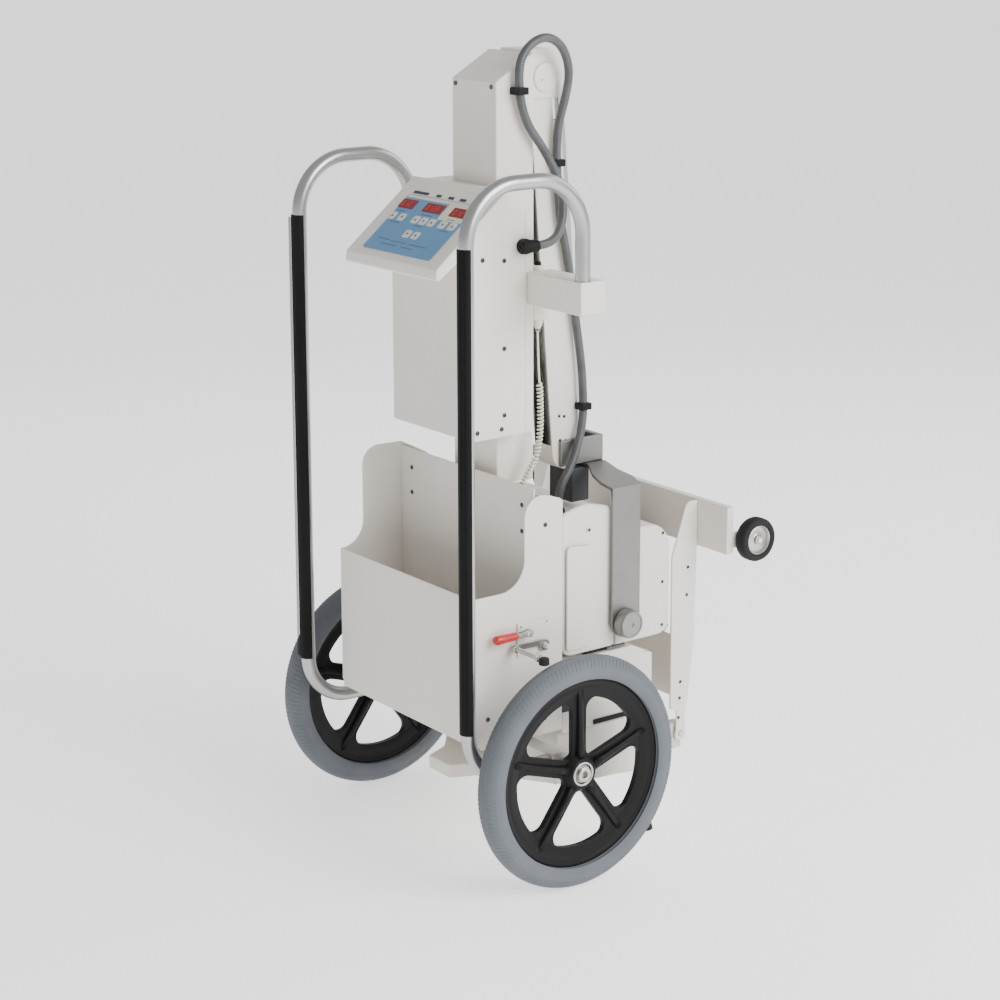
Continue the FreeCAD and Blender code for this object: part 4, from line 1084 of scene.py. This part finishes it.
def brake_parts(side, sign):
    """Toggle clamp: dipped red handle and pressed links with rivets."""
    low, high = corners(f"brake_lever_{side}")
    root = Vector(((low.x + high.x) / 2, low.y, (low.z + high.z) / 2))
    handle = turned(f"brake_grip_{side}", ((0, 2.0), (0.8, 5.4), (2.6, 7.0), (6, 7.9), (16, 7.8), (30, 7.1),
            (40, 6.6), (44, 6.9), (45.5, 6.3), (46, 5.4)), root, (0, 1, 0), steps=40)
    finish_piece(handle, f"lever_{side}", RED, "red_plastic", (f"brake_lever_{side}",))
    shape = [(44, -4.6, 1.5), (62, -4.6, 4), (74, -7, 5), (78.5, -2, 4), (78.5, 5, 4), (72, 7.5, 4),
            (60, 4.6, 5), (44, 4.6, 1.5)]
    cheeks = [slab("cheek", [outline_mm(shape)], on_side(root + Vector((offset * MM, 0, 0))), 0.0018,
            0.0003) for offset in (-3.4, 3.4)]
    for along in (50, 72):
        cheeks.append(turned("rivet", ((-5.6, 1.0), (-5.2, 2.4), (-4.4, 3.0), (4.4, 3.0), (5.2, 2.4),
                (5.6, 1.0)), root + Vector((0, along * MM, 0)), (1, 0, 0), 24))
    finish_joined(f"brake_links_{side}", cheeks, f"lever_{side}", ZINC, "red_plastic")


def presser(side, sign):
    """Pressed rocker with a threaded stud, two nuts and a rubber foot that grips the tyre."""
    root = corners(f"brake_presser_{side}")[0 if sign > 0 else 1].x
    pivot = at(0, 2, 395)
    spot = Vector((root, pivot.y, pivot.z))
    shape = [(9, -8.6, 6.4), (9, 8.6, 6.4), (-8, 11.6, 4.8), (-62, 12, 2.4), (-68, 11, 3.2),
            (-68, 2.5, 3.2), (-60, 1.6, 2.4), (-9, 1.6, 4.8), (-8.6, -8.6, 6.4)]
    outline = outline_mm(shape)
    face = on_side(spot + Vector((sign * 0.0045, 0, 0)))
    plates = [slab("rocker", [outline], face, 0.0022, 0.0004),
            slab("rocker", [outline], face @ Matrix.Translation((0, 0, -sign * 0.0030)), 0.0014, 0.0003)]
    plates.append(turned("pin", ((0.5, 0.3), (0.5, 5.5), (6.4, 5.5), (7.6, 4.6), (8.6, 3.2), (8.6, 0.3)),
            spot, (sign, 0, 0), 32))
    stud_at = at(0, -61, 402)
    thread = [(0.0, 0.3)]
    for k in range(52):
        thread += [(4 + k * 1.35, 3.3), (4.7 + k * 1.35, 3.9)]
    thread.append((76, 0.3))
    stud = turned("stud", thread, Vector((root, stud_at.y, stud_at.z)), (sign, 0, 0), 24)
    nuts = [turned("nut", ((b, 4), (b, 6.6), (b + 0.6, 7.4), (b + 4.6, 7.4), (b + 5.2, 6.6), (b + 5.2, 4)),
            Vector((root, stud_at.y, stud_at.z)), (sign, 0, 0), 6, closed=True) for b in (7, 66)]
    finish_joined(f"presser_rocker_{side}", plates + [stud] + nuts, f"presser_{side}", ZINC, "bright_steel",
            (f"brake_presser_{side}",))
    foot = turned(f"presser_foot_{side}", ((-8.5, 6.5), (-8.2, 8.2), (-7.4, 9), (-2, 8.2), (0.5, 8.6),
            (2.6, 8.2), (3.4, 7), (3.4, 1)), Vector((sign * 0.2835, stud_at.y, 0.4035)), (0, 0, 1), 40)
    finish_piece(foot, f"presser_{side}", RUBBER, "bright_steel")


def brake_feet(side, sign):
    """Screws on the clamp's base plate."""
    base = [box for box in solids_of("brake_bases") if (box[0].x + box[1].x) * sign > 0]
    low = Vector(min(b[0][i] for b in base) for i in range(3))
    high = Vector(max(b[1][i] for b in base) for i in range(3))
    plate_x = sign * 0.198
    places = [(Vector((plate_x, y, z)), (sign, 0, 0)) for y in (low.y + 0.006, high.y - 0.006)
            for z in (low.z + 0.006, high.z - 0.006)]
    screws(f"brake_base_screws_{side}", places, 0.0028, 0.0014, "chassis", ZINC, "bright_steel")


# ---- tube head and fork

def knob(side, sign):
    """Turned clamping knob: knurled edge, dished face and a bright chamfer."""
    low, high = corners(f"tilt_knob_{side}")
    centre = (low + high) / 2
    radius = (high.z - low.z) / 2
    depth = high.x - low.x
    inner = Vector((low.x if sign > 0 else high.x, centre.y, centre.z))
    steps = 120
    bm = bmesh.new()
    rings = []
    for along, r, knurl in ((0.0, radius * 0.93, 0), (0.10, radius * 0.985, 0), (0.12, radius, 1),
            (0.80, radius, 1), (0.83, radius * 0.985, 0), (0.95, radius * 0.945, 0),
            (1.0, radius * 0.90, 0), (1.0, radius * 0.80, 0), (0.955, radius * 0.77, 0),
            (0.945, radius * 0.30, 0), (0.955, radius * 0.16, 0), (0.90, radius * 0.14, 0),
            (0.90, radius * 0.02, 0)):
        ring = []
        for i in range(steps):
            angle = math.tau * i / steps
            wave = -0.00035 * (i % 2) * knurl
            ring.append(bm.verts.new(inner + Vector((sign * depth * along, (r + wave) * math.cos(angle),
                    (r + wave) * math.sin(angle)))))
        rings.append(ring)
    skin(bm, rings, ring=True)
    bm.faces.new(rings[0])
    bm.faces.new(rings[-1])
    bmesh.ops.recalc_face_normals(bm, faces=bm.faces)
    piece = split_edges(object_from(bm, f"clamp_knob_{side}"), 30)
    finish_piece(piece, f"knob_{side}", TURNED, "knob_metal", (f"tilt_knob_{side}",))


def head_trim():
    """Screws in the sides of the head's covers."""
    rear = corners("head_cover_rear")[1].x / MM
    places = [(at(sign * rear, y, z), (sign, 0, 0)) for sign in (-1, 1)
            for y, z in ((104, 430), (104, 575))]
    screws("head_cover_screws", places, 0.0030, 0.0014, "head", SCREW_STEEL, "dark_steel")
    front = corners("head_cover_front")[1].x / MM
    places = [(at(sign * front, y, z), (sign, 0, 0)) for sign in (-1, 1)
            for y, z in ((272, 452), (272, 374), (272, 540))]
    screws("head_front_screws", places, 0.0030, 0.0014, "head", SCREW_STEEL, "dark_steel")


SEAM_AHEAD = 0.0305                         # from the axle to the housing's cover seam
SEAM_LENGTH = 0.375
VENT_SLOTS = 9
VENT_PITCH = 0.009


def housing_trim():
    """Cover seams on both sides of the electronics housing and vent slots on its left."""
    low, high = corners("electronics_housing")
    seams, slots = [], []
    shape = [Vector(p) for p in ((-0.0006, 0), (0.0006, 0), (0.0006, SEAM_LENGTH), (-0.0006, SEAM_LENGTH))]
    for face in (low.x, high.x):
        place = on_side(Vector((face, AXLE.y + SEAM_AHEAD, low.z + 0.006)))
        seams.append(slab("seam", [shape], place, 0.0003))
    finish_joined("housing_seams", seams, "chassis", CREAM_SHADE_AND_SEAM, "cream_paint")
    # vent slots: black slabs on the left side where the openings are, painted shade inside them
    shape = rectangle(0.026, 0.0016, 0.0016)
    for k in range(VENT_SLOTS):
        place = on_side(Vector((low.x, AXLE.y - 0.026, low.z + 0.150 + VENT_PITCH * k)))
        slots.append(slab("slot", [rounded_outline(shape)], place, 0.0004))
    finish_joined("housing_vents", slots, "chassis", BLACK, "cream_paint")


def head_side_band(side, sign):
    """Shallow raised band on the head's side."""
    face = corners("head_cover_rear")[1].x
    shape = [(56, 370, 6), (109, 370, 6), (109, 548, 9), (56, 553, 9)]
    outline = outline_mm(shape)
    pad = slab(f"head_band_{side}", [outline], on_side(Vector((sign * (face - 0.0004), AXLE.y, 0))), 0.0040,
            0.0012)
    finish_piece(pad, "head", PAINT, "cream_paint")


def head_spring(side, sign):
    """Black bar under the head with its small return spring."""
    bottom = corners("head_cover_rear")[0].z / MM
    x = sign * 182
    block(f"head_bar_{side}", at(x - 5, 104, bottom - 4.5), at(x + 5, 190, bottom + 1), 0.0012, BLACK,
            "black_plastic", "head")
    points = []
    for k in range(12 * 13 + 1):
        angle = math.tau * k / 12
        points.append(at(x + sign * 6 + 2.6 * math.cos(angle), 150 + k * 0.26, bottom - 2.4
                + 2.6 * math.sin(angle)))
    spring = smooth_curve(f"head_spring_{side}", points, 0.0006, resolution=2, bevel=2)
    finish_piece(spring, "head", ZINC, "bright_steel")


def base_trim(side, sign):
    """Latch, strike plate and rubber strip low on the base's side."""
    x = corners("base_cabinet")[1].x / MM * sign
    block(f"base_latch_{side}", at(min(x, x + sign * 4), 47, 262), at(max(x, x + sign * 4), 62, 284), 0.001,
            DARK_STEEL, "dark_steel", "chassis")
    block(f"base_strike_{side}", at(min(x, x + sign * 2), 66, 256), at(max(x, x + sign * 2), 96, 290),
            0.0008, PAINT, "cream_paint", "chassis")
    block(f"base_strip_{side}", at(min(x, x + sign * 3), 117, 225), at(max(x, x + sign * 3), 193, 234),
            0.001, BLACK, "black_plastic", "chassis")
    screws(f"base_screws_{side}", [(at(x + sign * 2 * 0.95, 72, z), (sign, 0, 0)) for z in (262, 284)]
            + [(at(x, y, z), (sign, 0, 0)) for y, z in ((70, 335), (235, 335), (235, 240))], 0.0026, 0.0013,
            "chassis", ZINC, "bright_steel")


def limiter_front():
    """Beam limiter: window with cross lines and two setting knobs."""
    centre, face = middle("beam_limiter"), corners("beam_limiter")[1].y
    shape, hole = rectangle(0.040, 0.040, 0.006), rectangle(0.032, 0.032, 0.003)
    # local Y runs down so the local Z axis points forwards
    place = frame_at(Vector((centre.x, face + 0.0008, centre.z)), (1, 0, 0), (0, 0, -1))
    finish_piece(slab("limiter_bezel", [rounded_outline(shape), rounded_outline(hole)], place, 0.003,
            0.0006), "head", DARK_STEEL, "black_plastic")
    finish_piece(slab("limiter_window", [rounded_outline(hole)], place, 0.0012), "head", LENS,
            "black_plastic")
    lines = []
    for upright in (False, True):
        outline = rounded_outline(rectangle(0.030, 0.0003))
        if upright:
            outline = [Vector((p.y, p.x)) for p in outline][::-1]
        lines.append(slab("line", [outline], place, 0.0016))
    finish_joined("limiter_cross", lines, "head", PALE_PRINT, "black_plastic")
    for k, x in enumerate((-0.066, 0.066)):
        dial = turned(f"limiter_dial_{k}", ((0, 11), (1, 12), (4, 12), (4.8, 11), (5, 9.5), (4.6, 9),
                (4.6, 1)), Vector((x, face, centre.z)), (0, 1, 0), 36)
        finish_piece(dial, "head", TURNED, "knob_metal")


# ---- front frame and loading wheels

def loading_wheel(side, sign):
    """Rubber-tyred wheel with a pressed steel hub and a bolt."""
    low, high = corners(f"loading_wheel_{side}")
    centre = (low + high) / 2
    radius = (high.z - low.z) / 2 / MM
    half = (high.x - low.x) / 2 / MM
    tyre = turned(f"loading_tyre_{side}", ((-half * 0.80, radius - 13), (-half * 0.97, radius - 11),
            (-half, radius - 6), (-half * 0.86, radius - 2), (-half * 0.55, radius - 0.2), (0, radius),
            (half * 0.55, radius - 0.2), (half * 0.86, radius - 2), (half, radius - 6),
            (half * 0.97, radius - 11), (half * 0.80, radius - 13)), centre, (sign, 0, 0), 80, closed=True,
            split=60)
    finish_piece(tyre, f"loading_{side}", RUBBER, "black_rubber", (f"loading_wheel_{side}",))
    hub = turned(f"loading_hub_{side}", ((-half * 0.8, 6), (-half * 0.8, radius - 13.2),
            (half * 0.86, radius - 13.2), (half * 0.90, radius - 14.2), (half * 0.80, radius - 15.4),
            (half * 0.35, radius - 17), (half * 0.30, radius - 24), (half * 0.5, 9), (half * 0.88, 8.2),
            (half * 0.92, 7.4), (half * 0.92, 6)), centre, (sign, 0, 0), 64, closed=True)
    finish_piece(hub, f"loading_{side}", ZINC, "black_rubber")
    bolt = turned(f"loading_bolt_{side}", ((-half * 0.8, 5.9), (half * 0.6, 5.9), (half * 0.75, 5.2),
            (half * 0.80, 4.2), (half * 0.5, 3.4), (half * 0.5, 0.3)), centre, (sign, 0, 0), 6)
    finish_piece(bolt, f"loading_{side}", DARK_STEEL, "bright_steel")


def frame_screws():
    """Screws down the outside of both legs."""
    face = corners("front_frame")[1].x / MM
    places = [(at(sign * face, y, z), (sign, 0, 0)) for sign in (-1, 1)
            for y, z in ((326, 470), (324, 420), (312, 262), (311, 232), (309, 196))]
    screws("front_frame_screws", places, 0.0032, 0.0015, "front_frame", SCREW_STEEL, "dark_steel")


# ---- assembly

add_camera()
add_stage()
curly_lead()
hose_spans()
mirrored_sides(main_wheel)
axle_ends()
rounded_parts()
fork_hub()
recoat()
cover_screw_heads()
control_overlay()
grip_ribs()
hand_switch()
shoulder_cover()
hose_ties()
gland()
arm_trim()
mirrored_sides(brake_parts)
mirrored_sides(presser)
mirrored_sides(brake_feet)
mirrored_sides(knob)
head_trim()
limiter_front()
housing_trim()
mirrored_sides(head_side_band)
mirrored_sides(head_spring)
mirrored_sides(base_trim)
mirrored_sides(loading_wheel)
frame_screws()
